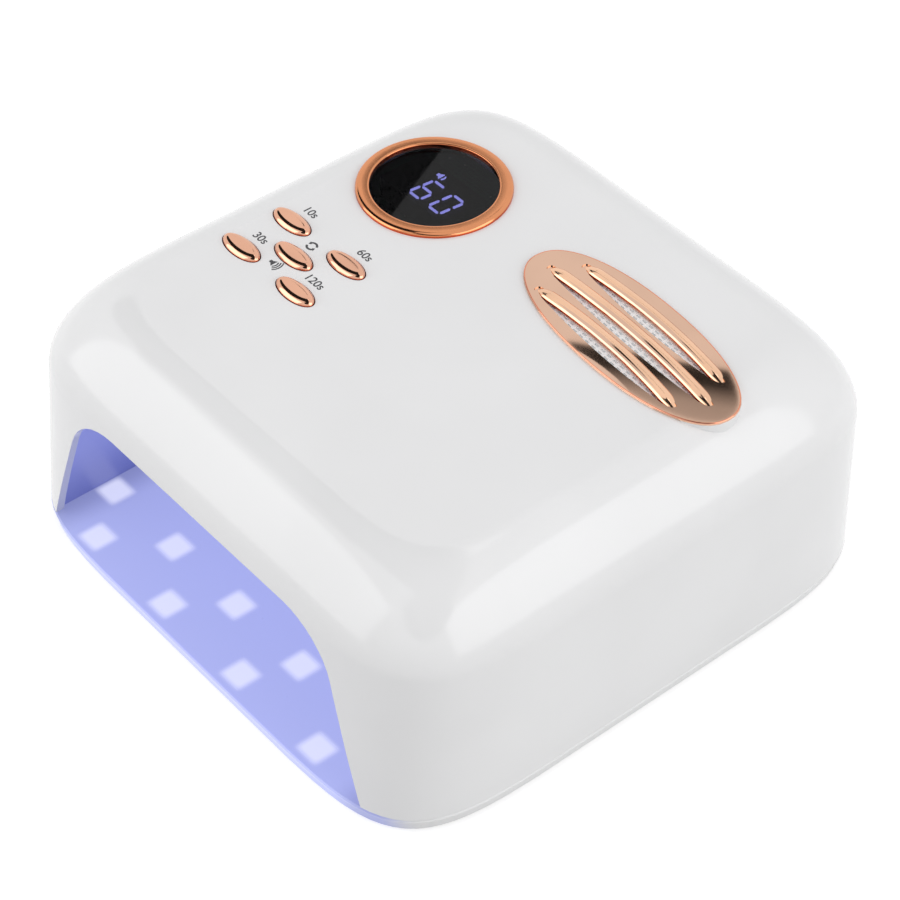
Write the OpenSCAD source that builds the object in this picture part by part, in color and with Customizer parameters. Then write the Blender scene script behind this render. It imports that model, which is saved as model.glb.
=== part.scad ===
// Curing lamp for nails: a squarish housing with a hand tunnel, standing on a lift-off tray.
// Millimetres. X is the user's right, Y runs away from the user and Z is up.
// The origin is on the table, under the middle of the lamp.

/* [Body] */
// Width of the housing at its foot
body_w = 210; // [200:1:230]
// Depth of the housing at its foot
body_d = 212; // [206:1:230]
// Height of the flat top above the table
body_h = 90; // [88:0.5:98]
// How square the plan outline is, as a superellipse exponent
squareness = 6.5; // [5.5:0.1:9]
// How far the rounded top edge reaches inwards
edge_in = 24; // [18:0.5:26]
// How far the rounded top edge reaches down
edge_down = 26; // [18:0.5:30]
// Fullness of the rounded top edge, 2 is a quarter ellipse
edge_fullness = 1.8; // [1.6:0.05:2.2]
// Lean of the front wall, per millimetre of height
front_lean = 0.08; // [0.04:0.01:0.1]
// Lean of the two side walls
side_lean = 0.026; // [0.01:0.002:0.04]
// Lean of the rear wall
rear_lean = 0.04; // [0.01:0.01:0.06]
// Wall of the housing
shell_wall = 2.6; // [2:0.1:3.2]

/* [Hand tunnel] */
// Width of a leg of the housing beside the mouth, at table height
leg_w = 21.5; // [19:0.5:29]
// How much the mouth's sides close in, per millimetre of height
mouth_lean = 0.337; // [0.25:0.01:0.4]
// Height of the housing's crown, from the mouth's flat top to the lamp's top
crown_h = 24.5; // [23:0.5:30]
// Radius of the mouth's top corners
mouth_corner_r = 24; // [14:0.5:30]
// Step from the mouth's edge out to the reflector's inner face
liner_step = 1.2; // [0.6:0.1:2]
// Wall of the reflector
liner_wall = 1.6; // [1.2:0.1:2]
// Thickness of the reflector's flange
flange_t = 3.2; // [2.8:0.1:4]
// Room behind the tunnel, to the rear of the lamp
rear_room = 28; // [26:1:36]

/* [Tray] */
// Height of the rubber feet below the tray
foot_h = 1; // [0.6:0.1:2]
// Radius of a rubber foot
foot_r = 6; // [4:0.5:8]
// Thickness of the tray
tray_t = 4.6; // [4.2:0.1:6]
// Thickness of the tray's top skin
tray_skin = 2; // [1.6:0.1:2.4]
// Thickness of the tray's bottom cover
tray_cover_t = 0.8; // [0.6:0.1:1]
// Inward slope of the tray's lower edge
tray_bevel = 1; // [0.8:0.1:3]
// Width of the tray's rim outside its hollow
tray_rim = 4; // [4:0.5:6]
// Side of a light window
window_w = 9.5; // [7:0.5:11]
// Distance of the front row's first window from the mouth's left foot
front_row_side = 20; // [18:0.5:26]
// Distance between two windows of the front row
front_pitch = 39.4; // [34:0.2:41]
// Distance of the second row's first window from the mouth's left foot
second_row_side = 6; // [6:0.5:14]
// Distance between two windows of the second row
second_pitch = 34; // [30:0.2:35]
// Distance of the front row behind the tray's front edge
front_row_in = 8; // [8:0.5:14]
// Distance between the two rows of windows
row_gap = 17; // [13:0.5:22]

/* [Buttons] */
// How far the middle button lies left of the display's middle
pad_left = 1.5; // [-2:0.5:3]
// How far the middle button lies in front of the display's middle
pad_ahead = 58; // [56:0.5:66]
// Distance between two buttons of a row
pad_pitch_x = 28.4; // [24:0.2:32]
// Distance between the two rows
pad_pitch_y = 20.7; // [19:0.1:24]
// Length of a button
button_l = 17.2; // [14:0.2:19]
// Width of a button
button_w = 8; // [7:0.1:9]
// How far a button stands above the top
button_rise = 1.7; // [1.2:0.1:2.5]
// Travel of a button
button_travel = 0.5; // [0.3:0.05:0.7]
// Gap round a button
button_gap = 0.3; // [0.25:0.05:0.5]

/* [Display] */
// Distance of the display's middle from the lamp's left side
display_side = 51; // [48:0.5:55]
// Distance of the display's middle from the lamp's rear
display_rear = 66.5; // [62:0.5:68]
// Outer radius of the bezel
bezel_r = 26.5; // [25:0.5:28]
// Radius of the lens
lens_r = 21.7; // [20:0.1:22]
// How far the bezel stands above the top
bezel_rise = 2.2; // [1.5:0.1:3]
// Height of a figure on the display
digit_h = 11; // [7:0.5:12]
// Width of a figure
digit_w = 6.5; // [4:0.5:7]
// Distance between the two figures
digit_pitch = 9.9; // [8.5:0.1:12]

/* [Vent] */
// Distance of the grille's middle from the lamp's right side
vent_side = 63; // [61:0.5:68]
// Distance of the grille's middle from the lamp's rear
vent_rear = 66.7; // [64:0.1:74]
// Turn of the grille
vent_turn = -4; // [-6:0.5:0]
// Length of the grille
vent_l = 96; // [90:0.5:100]
// Width of the grille
vent_w = 38; // [34:0.5:40]
// How far the grille stands above the top
vent_rise = 1; // [0.6:0.1:1.6]
// Length of the middle slot
slot_l = 73; // [68:0.5:76]
// Widest opening of a slot
slot_w = 4; // [3.4:0.1:4.2]
// Distance between two slots
slot_pitch = 9.6; // [9.2:0.1:9.9]
// Side of the cooling fan
fan_w = 50; // [40:1:50]
// Thickness of the cooling fan
fan_t = 10; // [8:0.5:10]
// Number of fan blades
fan_blades = 9; // [5:1:11]

/* [Power inlet] */
// Distance of the inlet from the lamp's right side
jack_side = 43; // [36:1:65]
// Height of the inlet
jack_z = 24; // [16:1:40]
// Radius of the inlet's bore
jack_bore_r = 3.15; // [2.9:0.05:3.4]
// Radius of the inlet's centre pin
jack_pin_r = 1; // [0.8:0.05:1.2]

/* [Hidden] */

fit_gap = 0.3;           // between pieces that only lie near each other
seat_gap = 0.05;         // between a piece and the pocket that holds it
bearing_gap = 0.03;      // radial, round a turning or sliding pin
eps = 0.01;              // overlap that lets solids of one piece join
outline_steps = 72;
edge_steps = 10;
oval_steps = 48;
$fn = 48;

// places on the housing
display_x = display_side - body_w / 2;
display_y = body_d / 2 - display_rear;
pad_x = display_x - pad_left;
pad_y = display_y - pad_ahead;
vent_x = body_w / 2 - vent_side;
vent_y = body_d / 2 - vent_rear;
jack_x = body_w / 2 - jack_side;

// the tunnel
mouth_half_w = body_w / 2 - leg_w;
mouth_top = body_h - crown_h;
tunnel_rear_y = body_d / 2 - rear_room;

// heights
tray_z = foot_h;
tray_top = tray_z + tray_t;
hollow_top = tray_top - tray_skin;
shell_z = tray_top + fit_gap;
flange_top = shell_z + flange_t;
inner_top = body_h - shell_wall;
liner_in_top = mouth_top + liner_step;
liner_top = liner_in_top + liner_wall;
board_t = 1.6;
led_board_z = liner_top + fit_gap;
led_board_top = led_board_z + board_t;
switch_h = 3.5;
plunger_rise = 1.5;
cap_flange_t = 1;
cap_flange_z = inner_top - fit_gap - cap_flange_t;
cap_stem_l = 1.1;
board_top = cap_flange_z - cap_stem_l - plunger_rise - switch_h;
board_z = board_top - board_t;

// fan stack, hung from the top of the housing
fan_drop = 5.4;
fan_top = inner_top - fan_drop;
fan_z = fan_top - fan_t;
fan_hole_in = 5;
fan_hole_pitch = fan_w - 2 * fan_hole_in;

// screws
screw_r = 1.25;
screw_core_r = screw_r + seat_gap;
screw_pass_r = screw_r + 0.3;
screw_head_r = 2.6;
screw_head_h = 1.4;
screw_slot_w = 0.7;
screw_slot_depth = 0.6;
screw_spare = 2;         // depth of a screw's hole beyond the screw
stud_r = 2.8;            // of a stud that hangs from the housing's top
hole_skin = 0.6;         // left between a screw's hole and the outside
post_r = 3.4;
post_in = 7.6;           // from a post's middle to the housing's inner wall
post_h = 22;
post_grip = 12;          // how far a screw reaches into a post
rib_w = 2;

// plan places
post_x = body_w / 2 - side_lean * flange_top - shell_wall - post_in;
post_y = 58;
magnet_y = 36;
magnet_r = 3.5;
magnet_h = 2;
magnet_cover = 0.8;      // skin over a magnet of the tray
contact_y = (tunnel_rear_y + body_d / 2) / 2;
contact_pitch = 9;
contact_pad_r = 2.2;
contact_pin_r = 1.2;
contact_air = 0.15;
board_margin_x = 3;
board_margin_y = 11;
board_x = [display_x - bezel_r - board_margin_x, display_x + bezel_r + board_margin_x];
board_y = [pad_y - pad_pitch_y / 2 - board_margin_y, display_y + bezel_r + 1];
board_screw_in = 4;
foot_x = body_w / 2 - 21;
foot_y = body_d / 2 - 30;
inner_foot_y = body_d / 2 - 66;
foot_places = [
    [foot_x, -foot_y], [-foot_x, -foot_y], [foot_x, foot_y], [-foot_x, foot_y],
    [0, -inner_foot_y], [0, inner_foot_y]
];
tray_screw_x = body_w / 2 - 17;
tray_screw_y = body_d / 2 - 19;
tray_screw_r = 1;
tray_boss_r = 3.2;

// The housing's form

// A power that keeps the sign of its base
function signed_pow(v, e) = sign(v) * pow(abs(v), e);

// Outline of the housing at height z, drawn in by inset on every side
function outline_at(z, inset) =
    let (
        half_w = body_w / 2 - side_lean * z - inset,
        front = body_d / 2 - front_lean * z - inset,
        rear = body_d / 2 - rear_lean * z - inset,
        e = 2 / squareness
    )
    [for (i = [0 : outline_steps - 1])
        let (t = 360 * i / outline_steps)
        [half_w * signed_pow(cos(t), e), (rear - front) / 2 + (rear + front) / 2 * signed_pow(sin(t), e)]];

// The same outline as a ring of points at height z
function ring_at(z, inset) = [for (p = outline_at(z, inset)) [p[0], p[1], z]];

// Rings of a closed form with the rounded top edge, from foot z to top z
function body_rings(z0, z1, inset, reach_in, reach_down) =
    concat(
        [ring_at(z0, inset)],
        [for (i = [0 : edge_steps])
            let (t = 90 * i / edge_steps, e = 2 / edge_fullness)
            ring_at(
                z1 - reach_down + reach_down * pow(sin(t), e),
                inset + reach_in * (1 - pow(max(cos(t), 0), e))
            )]
    );

// A closed skin over a stack of rings that all have the same number of points
module loft(rings) {
    n = len(rings[0]);
    m = len(rings);
    polyhedron(
        points = [for (r = rings) for (p = r) p],
        faces = concat(
            [[for (i = [0 : n - 1]) i]],
            [for (k = [0 : m - 2]) for (i = [0 : n - 1])
                let (a = k * n + i, b = k * n + (i + 1) % n)
                [a, a + n, b]],
            [for (k = [0 : m - 2]) for (i = [0 : n - 1])
                let (a = k * n + i, b = k * n + (i + 1) % n)
                [b, a + n, b + n]],
            [[for (i = [n - 1 : -1 : 0]) (m - 1) * n + i]]
        ),
        convexity = 8
    );
}

// The housing's outside
module body_outside() {
    loft(body_rings(shell_z, body_h, 0, edge_in, edge_down));
}

// The housing's hollow, or with clearance what fits inside it
module body_inside(clearance) {
    thin = 0.6 * shell_wall;
    loft(body_rings(
        shell_z - 2, inner_top - clearance, shell_wall + clearance, edge_in - thin, edge_down - thin
    ));
}

// Shape helpers

// Oval of length l and width w, as a superellipse
function oval(l, w, e = 2) =
    [for (i = [0 : oval_steps - 1])
        let (t = 360 * i / oval_steps)
        [l / 2 * signed_pow(cos(t), 2 / e), w / 2 * signed_pow(sin(t), 2 / e)]];

function lift(points, z) = [for (p = points) [p[0], p[1], z]];

// Outline of the hand tunnel, grown by g, with its foot at z0
function mouth_points(g, z0) =
    let (
        slant = sqrt(1 + mouth_lean * mouth_lean),
        w = mouth_half_w + g * slant,
        top = mouth_top + g,
        r = mouth_corner_r + g,
        turn = 90 - atan(mouth_lean),
        cx = w - mouth_lean * (top - r) - r * slant,
        cz = top - r,
        right = [for (i = [0 : 8])
            let (a = atan(mouth_lean) + turn * i / 8)
            [cx + r * cos(a), cz + r * sin(a)]]
    )
    concat([[w - mouth_lean * z0, z0]], right, [for (i = [8 : -1 : 0]) [-right[i][0], right[i][1]]],
        [[-w + mouth_lean * z0, z0]]);

// The tunnel's section drawn out from front y to rear y
module mouth_solid(g, z0, y0, y1) {
    translate([0, y1, 0]) rotate([90, 0, 0]) linear_extrude(y1 - y0) polygon(mouth_points(g, z0));
}

// A round tube or bar along points, one radius for each of them
function ring_round(p, d, r, sides) =
    let (
        side = cross(d, [0, 0, 1]),
        u = norm(side) < 0.01 ? [1, 0, 0] : side / norm(side),
        v = cross(d, u)
    )
    [for (i = [0 : sides - 1]) p + r * (u * cos(360 * i / sides) + v * sin(360 * i / sides))];

module sweep(path, radii, sides) {
    n = len(path);
    loft([for (i = [0 : n - 1])
        let (d = path[min(i + 1, n - 1)] - path[max(i - 1, 0)])
        ring_round(path[i], d / norm(d), radii[i], sides)]);
}

// A lead of radius r that runs along points
module lead(points, r) {
    sweep(points, [for (p = points) r], 8);
}

module pin_z(r, z0, z1) {
    translate([0, 0, z0]) cylinder(r = r, h = z1 - z0);
}

module box_between(a, b) {
    translate(a) cube(b - a);
}

// Screw that stands on its head at z0 and points up to z1
module screw_up(z0, z1) {
    difference() {
        union() {
            pin_z(screw_head_r, z0, z0 + screw_head_h);
            pin_z(screw_r, z0 + screw_head_h - eps, z1);
        }
        screw_cross(screw_head_r - 1, screw_slot_w, z0, screw_slot_depth);
    }
}

// Cross recess in a head that faces down at z0
module screw_cross(reach, w, z0, depth) {
    for (a = [0, 90]) rotate(a)
        box_between([-reach, -w / 2, z0 - 1], [reach, w / 2, z0 + depth]);
}

// Places that repeat

module at_posts() {
    for (x = [-1, 1]) for (y = [-1, 1]) translate([x * post_x, y * post_y, 0]) children();
}

module at_magnets() {
    for (x = [-1, 1]) for (y = [-1, 1]) translate([x * post_x, y * magnet_y, 0]) children();
}

module at_contacts() {
    for (i = [-1 : 1]) translate([i * contact_pitch, contact_y, 0]) children();
}

module at_feet() {
    for (p = foot_places) translate([p[0], p[1], 0]) children();
}

module at_tray_screws() {
    for (x = [-1, 1]) for (y = [-1, 1]) translate([x * tray_screw_x, y * tray_screw_y, 0]) children();
}

front_edge_y = -(body_d / 2 - front_lean * tray_top);
front_row_y = front_edge_y + front_row_in;
front_row_x = [for (i = [0 : 3]) front_row_side - mouth_half_w + i * front_pitch];
second_row_x = [for (i = [0 : 4]) second_row_side - mouth_half_w + i * second_pitch];

module at_windows() {
    for (x = front_row_x) translate([x, front_row_y, 0]) children();
    for (x = second_row_x) translate([x, front_row_y + row_gap, 0]) children();
}

button_places = [
    [pad_x - pad_pitch_x / 2, pad_y + pad_pitch_y / 2],
    [pad_x + pad_pitch_x / 2, pad_y + pad_pitch_y / 2],
    [pad_x - pad_pitch_x / 2, pad_y - pad_pitch_y / 2],
    [pad_x + pad_pitch_x / 2, pad_y - pad_pitch_y / 2],
    [pad_x, pad_y]
];

module at_buttons() {
    for (p = button_places) translate([p[0], p[1], 0]) children();
}

module at_board_screws() {
    for (x = board_x) for (y = board_y)
        translate([
            x + (x < display_x ? board_screw_in : -board_screw_in),
            y + (y < display_y ? board_screw_in : -board_screw_in),
            0
        ]) children();
}

module at_vent() {
    translate([vent_x, vent_y, 0]) rotate(vent_turn) children();
}

module at_fan_holes() {
    at_vent() for (x = [-0.5, 0.5]) for (y = [-0.5, 0.5])
        translate([x * fan_hole_pitch, y * fan_hole_pitch, 0]) children();
}

// Light beads of the ceiling, in rows across the tunnel
bead_r = 2.6;
bead_pitch = 21;
ceiling_columns = 4;
ceiling_rows = 6;
ceiling_front_y = 42 - body_d / 2;

module at_ceiling_beads() {
    for (i = [0 : ceiling_columns - 1]) for (j = [0 : ceiling_rows - 1])
        translate([
            (i - (ceiling_columns - 1) / 2) * bead_pitch,
            ceiling_front_y + j * bead_pitch,
            0
        ]) children();
}

// Frame of a side wall: origin on the reflector's outer face at half height, Z points out of the tunnel
side_turn = atan(mouth_lean);
side_mid_z = (flange_top + mouth_top - mouth_corner_r * (1 - sin(side_turn))) / 2;
liner_out = liner_step + liner_wall;
side_face_x = mouth_half_w + liner_out * sqrt(1 + mouth_lean * mouth_lean) - mouth_lean * side_mid_z;
side_rows = 5;

module at_side(s) {
    mirror([s < 0 ? 1 : 0, 0, 0])
        translate([side_face_x, 0, side_mid_z]) rotate([0, 90 - side_turn, 0]) children();
}

side_bead_gap = 8;
side_bead_pitch = 26;

module at_side_beads(s) {
    at_side(s) for (i = [-1, 1]) for (j = [0 : side_rows - 1])
        translate([i * side_bead_gap, (j - (side_rows - 1) / 2) * side_bead_pitch, 0]) children();
}

// Tray

module rubber_feet() {
    color("dimgray") at_feet() cylinder(r1 = foot_r - foot_h / 2, r2 = foot_r, h = foot_h);
}

module tray_cover() {
    color("gainsboro") difference() {
        translate([0, 0, tray_z]) linear_extrude(tray_cover_t) polygon(outline_at(0, tray_rim + fit_gap));
        at_tray_screws() pin_z(screw_head_r + seat_gap, tray_z - 1, tray_z + tray_cover_t + 1);
    }
}

module tray_screws() {
    color("silver") at_tray_screws() difference() {
        union() {
            pin_z(screw_head_r, tray_z, tray_z + tray_cover_t);
            pin_z(tray_screw_r, tray_z + tray_cover_t - eps, hollow_top + 1);
        }
        screw_cross(screw_head_r - 1, screw_slot_w, tray_z, tray_cover_t / 2);
    }
}

tray_board_t = 0.8;
tray_board_z = tray_z + tray_cover_t + seat_gap;
tray_led_w = 3.5;
tray_led_h = 0.6;

module tray_led_board() {
    reach = window_w / 2 + 1;
    color("seagreen") intersection() {
        box_between(
            [second_row_x[0] - reach, front_row_y - window_w / 2, tray_board_z],
            [second_row_x[4] + reach, front_row_y + row_gap + reach, tray_board_z + tray_board_t]
        );
        translate([0, 0, tray_z]) linear_extrude(tray_t) polygon(outline_at(0, tray_rim + 2 * fit_gap));
    }
}

module tray_leds() {
    half = tray_led_w / 2;
    z = tray_board_z + tray_board_t;
    top = min(z + tray_led_h, hollow_top - seat_gap);
    color("khaki") at_windows() box_between([-half, -half, z], [half, half, top]);
}

module base_tray() {
    color("lavender") difference() {
        union() {
            difference() {
                loft([
                    ring_at(tray_z, tray_bevel), ring_at(tray_z + 0.55 * tray_t, 0.5),
                    ring_at(tray_top - 0.6, 0), ring_at(tray_top, 0.4)
                ]);
                translate([0, 0, tray_z - 1]) linear_extrude(hollow_top - tray_z + 1)
                    polygon(outline_at(0, tray_rim));
            }
            at_tray_screws() pin_z(tray_boss_r, tray_z + tray_cover_t + seat_gap, hollow_top + eps);
        }
        at_tray_screws() pin_z(tray_screw_r + seat_gap, tray_z - 1, hollow_top + 1.2);
        at_windows() box_between(
            [-window_w / 2, -window_w / 2, hollow_top - 1], [window_w / 2, window_w / 2, tray_top + 1]
        );
        at_magnets() pin_z(magnet_r + seat_gap, hollow_top - 1, tray_top - magnet_cover);
        at_contacts() pin_z(contact_pad_r + seat_gap, hollow_top - 1, tray_top + 1);
    }
}

module tray_windows() {
    half = window_w / 2 - seat_gap;
    color("white") at_windows() box_between([-half, -half, hollow_top], [half, half, tray_top]);
}

module tray_magnets() {
    color("silver") at_magnets() pin_z(magnet_r, tray_top - magnet_cover - magnet_h, tray_top - magnet_cover);
}

module tray_contacts() {
    color("gold") at_contacts() pin_z(contact_pad_r, hollow_top - 0.4, tray_top);
}

// Housing

module top_shell() {
    color("whitesmoke") difference() {
        union() {
            difference() {
                body_outside();
                body_inside(0);
            }
            // posts for the reflector's screws, each joined to the wall by a rib
            for (x = [-1, 1]) for (y = [-1, 1]) translate([x * post_x, y * post_y, 0]) {
                pin_z(post_r, flange_top + seat_gap, flange_top + post_h);
                mirror([x < 0 ? 1 : 0, 0, 0]) box_between(
                    [0, -rib_w / 2, flange_top + seat_gap],
                    [post_in + shell_wall / 2, rib_w / 2, flange_top + post_h]
                );
            }
            at_board_screws() pin_z(stud_r, board_top, inner_top + eps);
            at_fan_holes() pin_z(stud_r, fan_top, inner_top + eps);
        }
        mouth_solid(0, -1, -body_d, -body_d / 2 + edge_in + 2);
        at_posts() pin_z(screw_core_r, flange_top - 1, flange_top + post_grip + screw_spare);
        at_board_screws() pin_z(screw_core_r, board_top - 1, inner_top - hole_skin);
        at_fan_holes() pin_z(screw_core_r, fan_top - 1, inner_top - hole_skin);
        at_display() pin_z(display_hole_r, inner_top - 2, body_h + 1);
        at_buttons() translate([0, 0, inner_top - 2]) linear_extrude(shell_wall + 4)
            polygon(oval(button_l + 2 * button_gap, button_w + 2 * button_gap));
        at_vent() translate([0, 0, inner_top - 2]) linear_extrude(shell_wall + 4)
            polygon(oval(vent_l - 2 * vent_lip, vent_w - 2 * vent_lip, vent_fullness));
        translate([jack_x, jack_front_y, jack_z]) rotate([-90, 0, 0]) cylinder(r = jack_r + seat_gap, h = 40);
    }
}

module reflector() {
    color("lavender") difference() {
        intersection() {
            union() {
                mouth_solid(liner_out, shell_z, -body_d / 2, tunnel_rear_y + liner_wall);
                box_between([-body_w, -body_d, shell_z], [body_w, body_d, flange_top]);
            }
            body_inside(fit_gap);
            box_between([-body_w, -body_d, shell_z], [body_w, body_d, body_h]);
        }
        mouth_solid(liner_step, -1, -body_d, tunnel_rear_y);
        at_posts() pin_z(screw_pass_r, shell_z - 1, flange_top + 1);
        at_posts() pin_z(screw_head_r + fit_gap, shell_z - 1, screw_seat_z + screw_head_h);
        at_contacts() pin_z(contact_pin_r + seat_gap, shell_z - 1, flange_top + 1);
        at_ceiling_beads() pin_z(bead_r + fit_gap, liner_in_top - 1, liner_top + 1);
        at_sensor() pin_z(bead_r + fit_gap, liner_in_top - 1, liner_top + 1);
        for (s = [-1, 1]) at_side_beads(s)
            pin_z(bead_r + fit_gap, -liner_wall - 1, 1);
    }
}

screw_seat_z = shell_z + fit_gap;

module reflector_screws() {
    color("silver") at_posts() screw_up(screw_seat_z, flange_top + post_grip);
}

module housing_magnets() {
    color("silver") at_magnets() pin_z(magnet_r, flange_top, flange_top + magnet_h);
}

module spring_contacts() {
    color("gold") at_contacts() {
        pin_z(contact_pin_r, tray_top + contact_air, flange_top + eps);
        pin_z(2 * contact_pin_r, flange_top, flange_top + 3);
    }
}

// Lights of the housing

sensor_y = ceiling_front_y - 18;
sensor_gap = 12;
bead_margin = 6;

module ceiling_led_board() {
    half_x = (ceiling_columns - 1) / 2 * bead_pitch + bead_margin;
    color("white") box_between(
        [-half_x, sensor_y - bead_margin, led_board_z],
        [half_x, ceiling_front_y + (ceiling_rows - 1) * bead_pitch + bead_margin, led_board_top]
    );
}

module ceiling_leds() {
    color("khaki") at_ceiling_beads() pin_z(bead_r, liner_in_top, led_board_z);
}

module at_sensor() {
    for (x = [-0.5, 0.5]) translate([x * sensor_gap, sensor_y, 0]) children();
}

module hand_sensor() {
    color("dimgray") at_sensor() pin_z(bead_r, liner_in_top, led_board_z);
}

module side_board(s) {
    half_w = side_bead_gap + bead_margin;
    half_l = (side_rows - 1) / 2 * side_bead_pitch + bead_margin;
    color("white") at_side(s) box_between([-half_w, -half_l, fit_gap], [half_w, half_l, fit_gap + board_t]);
}

module side_beads(s) {
    color("khaki") at_side_beads(s) pin_z(bead_r, -liner_wall, fit_gap);
}

module left_led_board() { side_board(-1); }
module right_led_board() { side_board(1); }
module left_leds() { side_beads(-1); }
module right_leds() { side_beads(1); }

// Controls

module control_board() {
    color("seagreen") difference() {
        box_between([board_x[0], board_y[0], board_z], [board_x[1], board_y[1], board_top]);
        at_board_screws() pin_z(screw_pass_r, board_z - 1, board_top + 1);
    }
}

module board_screws() {
    color("silver") at_board_screws() screw_up(board_z - screw_head_h, inner_top - hole_skin - screw_spare);
}

switch_w = 6;
switch_floor = 1.6;
plunger_r = 1.7;

module tact_switches() {
    half = switch_w / 2;
    color("black") at_buttons() difference() {
        box_between([-half, -half, board_top], [half, half, board_top + switch_h]);
        pin_z(plunger_r + 2 * bearing_gap, board_top + switch_floor, board_top + switch_h + 1);
    }
}

chip_l = 10;
chip_w = 6;
chip_h = 1.6;
buzzer_r = 4.5;
buzzer_h = 4.2;
buzzer_hole_r = 0.8;
parts_row_y = pad_y + pad_pitch_y / 2 + 11.6;
parts_row_x = 20;

module controller_chip() {
    color("black") translate([display_x + parts_row_x, parts_row_y, board_top])
        box_between([-chip_l / 2, -chip_w / 2, 0], [chip_l / 2, chip_w / 2, chip_h]);
}

capacitor_r = 3.2;
capacitor_h = 7.6;
capacitor_gap = 16;

module capacitors() {
    color("navy") for (x = [-0.5, 0.5])
        translate([display_x + x * capacitor_gap, board_y[0] + capacitor_r + 2, 0])
            pin_z(capacitor_r, board_z - capacitor_h, board_z);
}

module buzzer() {
    color("black") translate([display_x - parts_row_x, parts_row_y, 0]) difference() {
        pin_z(buzzer_r, board_top, board_top + buzzer_h);
        pin_z(buzzer_hole_r, board_top + buzzer_h / 2, board_top + buzzer_h + 1);
    }
}

socket_l = 5;
socket_w = 8;
socket_h = 4.5;
socket_rows = [board_y[1] - 16, board_y[1] - 34];

module lead_sockets() {
    color("ivory") for (y = socket_rows) box_between(
        [board_x[1] - socket_l, y - socket_w / 2, board_z - socket_h],
        [board_x[1], y + socket_w / 2, board_z]
    );
}

cap_stem_r = 2;
cap_flange_w = 1;        // how far the flange under the top reaches past the cap
dome_steps = 6;
dome_turn = 80;          // of the dome's quarter turn; the rest is its flat crown

// A button: an oval dome, a flange that stays under the housing's top, and a stem
module button_cap(i) {
    p = button_places[i];
    foot = cap_flange_z + cap_flange_t;
    dome_z = body_h - fit_gap;
    dome_h = button_rise + fit_gap;
    color("peru") translate([p[0], p[1], 0]) {
        loft(concat(
            [lift(oval(button_l, button_w), foot - eps)],
            [for (k = [0 : dome_steps])
                let (t = dome_turn * k / dome_steps)
                lift(
                    oval(button_l - button_w * (1 - cos(t)), button_w * cos(t)),
                    dome_z + dome_h * sin(t) / sin(dome_turn)
                )]
        ));
        translate([0, 0, cap_flange_z]) linear_extrude(cap_flange_t)
            polygon(oval(button_l + 2 * cap_flange_w, button_w + 2 * cap_flange_w));
        pin_z(cap_stem_r, board_top + switch_h + plunger_rise, cap_flange_z + eps);
    }
}

module plunger(i) {
    p = button_places[i];
    low_z = board_top + switch_floor + button_travel + fit_gap;
    color("firebrick") translate([p[0], p[1], 0])
        pin_z(plunger_r, low_z, board_top + switch_h + plunger_rise);
}

module button_10s() { button_cap(0); }
module button_60s() { button_cap(1); }
module button_30s() { button_cap(2); }
module button_120s() { button_cap(3); }
module button_cycle() { button_cap(4); }
module plunger_10s() { plunger(0); }
module plunger_60s() { plunger(1); }
module plunger_30s() { plunger(2); }
module plunger_120s() { plunger(3); }
module plunger_cycle() { plunger(4); }

// Display

display_hole_r = lens_r + 2.4;
lens_t = 1.8;
lens_rise = 0.5;
lens_z = body_h + lens_rise - lens_t;
digit_t = 0.3;
digit_bar_w = 0.9;
digit_bar_gap = 0.45;    // from a corner of a figure to the end of a bar
digit_lean = 0.1;        // slant of the figures, per millimetre of height
digits_at = [3.7, -2.2];
icon_at = [-3.9, 6];
module_top = lens_z - 2 * seat_gap - digit_t;
module_l = 34;
module_w = 19;

module at_display() {
    translate([display_x, display_y, 0]) children();
}

module display_bezel() {
    sleeve_r = display_hole_r - fit_gap / 2;
    bore_r = lens_r + seat_gap;
    ledge_r = lens_r - 1.2;
    low_z = inner_top - 0.8;
    rim_h = 0.6;
    steps = 10;
    mid_r = (bezel_r + bore_r) / 2;
    crest = [for (i = [0 : steps])
        let (t = 180 * i / steps)
        [mid_r + (bezel_r - mid_r) * cos(t), body_h + rim_h + (bezel_rise - rim_h) * sin(t)]];
    color("peru") at_display() rotate_extrude($fn = 96) polygon(concat(
        [[sleeve_r, low_z], [sleeve_r, body_h], [bezel_r, body_h]],
        crest,
        [[bore_r, lens_z], [ledge_r, lens_z], [ledge_r, low_z]]
    ));
}

module display_lens() {
    color("black") at_display() pin_z(lens_r, lens_z, lens_z + lens_t);
}

module display_module() {
    color("dimgray") at_display()
        box_between([-module_l / 2, -module_w / 2, board_top], [module_l / 2, module_w / 2, module_top]);
}

// Corner of a figure: column -1 or 1 across it, row -1, 0 or 1 up it
function digit_corner(column, row) =
    let (y = row * (digit_h - digit_bar_w) / 2)
    [column * (digit_w - digit_bar_w) / 2 + digit_lean * y, y];

// One bar of a figure between corners a and b, pointed at both ends
module digit_bar(a, b) {
    d = (b - a) / norm(b - a);
    side = [-d[1], d[0]] * digit_bar_w / 2;
    start = a + d * digit_bar_gap;
    end = b - d * digit_bar_gap;
    polygon([
        start, start + d * digit_bar_w / 2 + side, end - d * digit_bar_w / 2 + side,
        end, end - d * digit_bar_w / 2 - side, start + d * digit_bar_w / 2 - side
    ]);
}

// A seven bar figure; the bars run top, upper right, lower right, bottom, lower left, upper left, middle
module digit(bars) {
    ends = [
        [[-1, 1], [1, 1]], [[1, 1], [1, 0]], [[1, 0], [1, -1]], [[1, -1], [-1, -1]],
        [[-1, -1], [-1, 0]], [[-1, 0], [-1, 1]], [[-1, 0], [1, 0]]
    ];
    for (i = bars) digit_bar(
        digit_corner(ends[i][0][0], ends[i][0][1]), digit_corner(ends[i][1][0], ends[i][1][1])
    );
}

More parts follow.
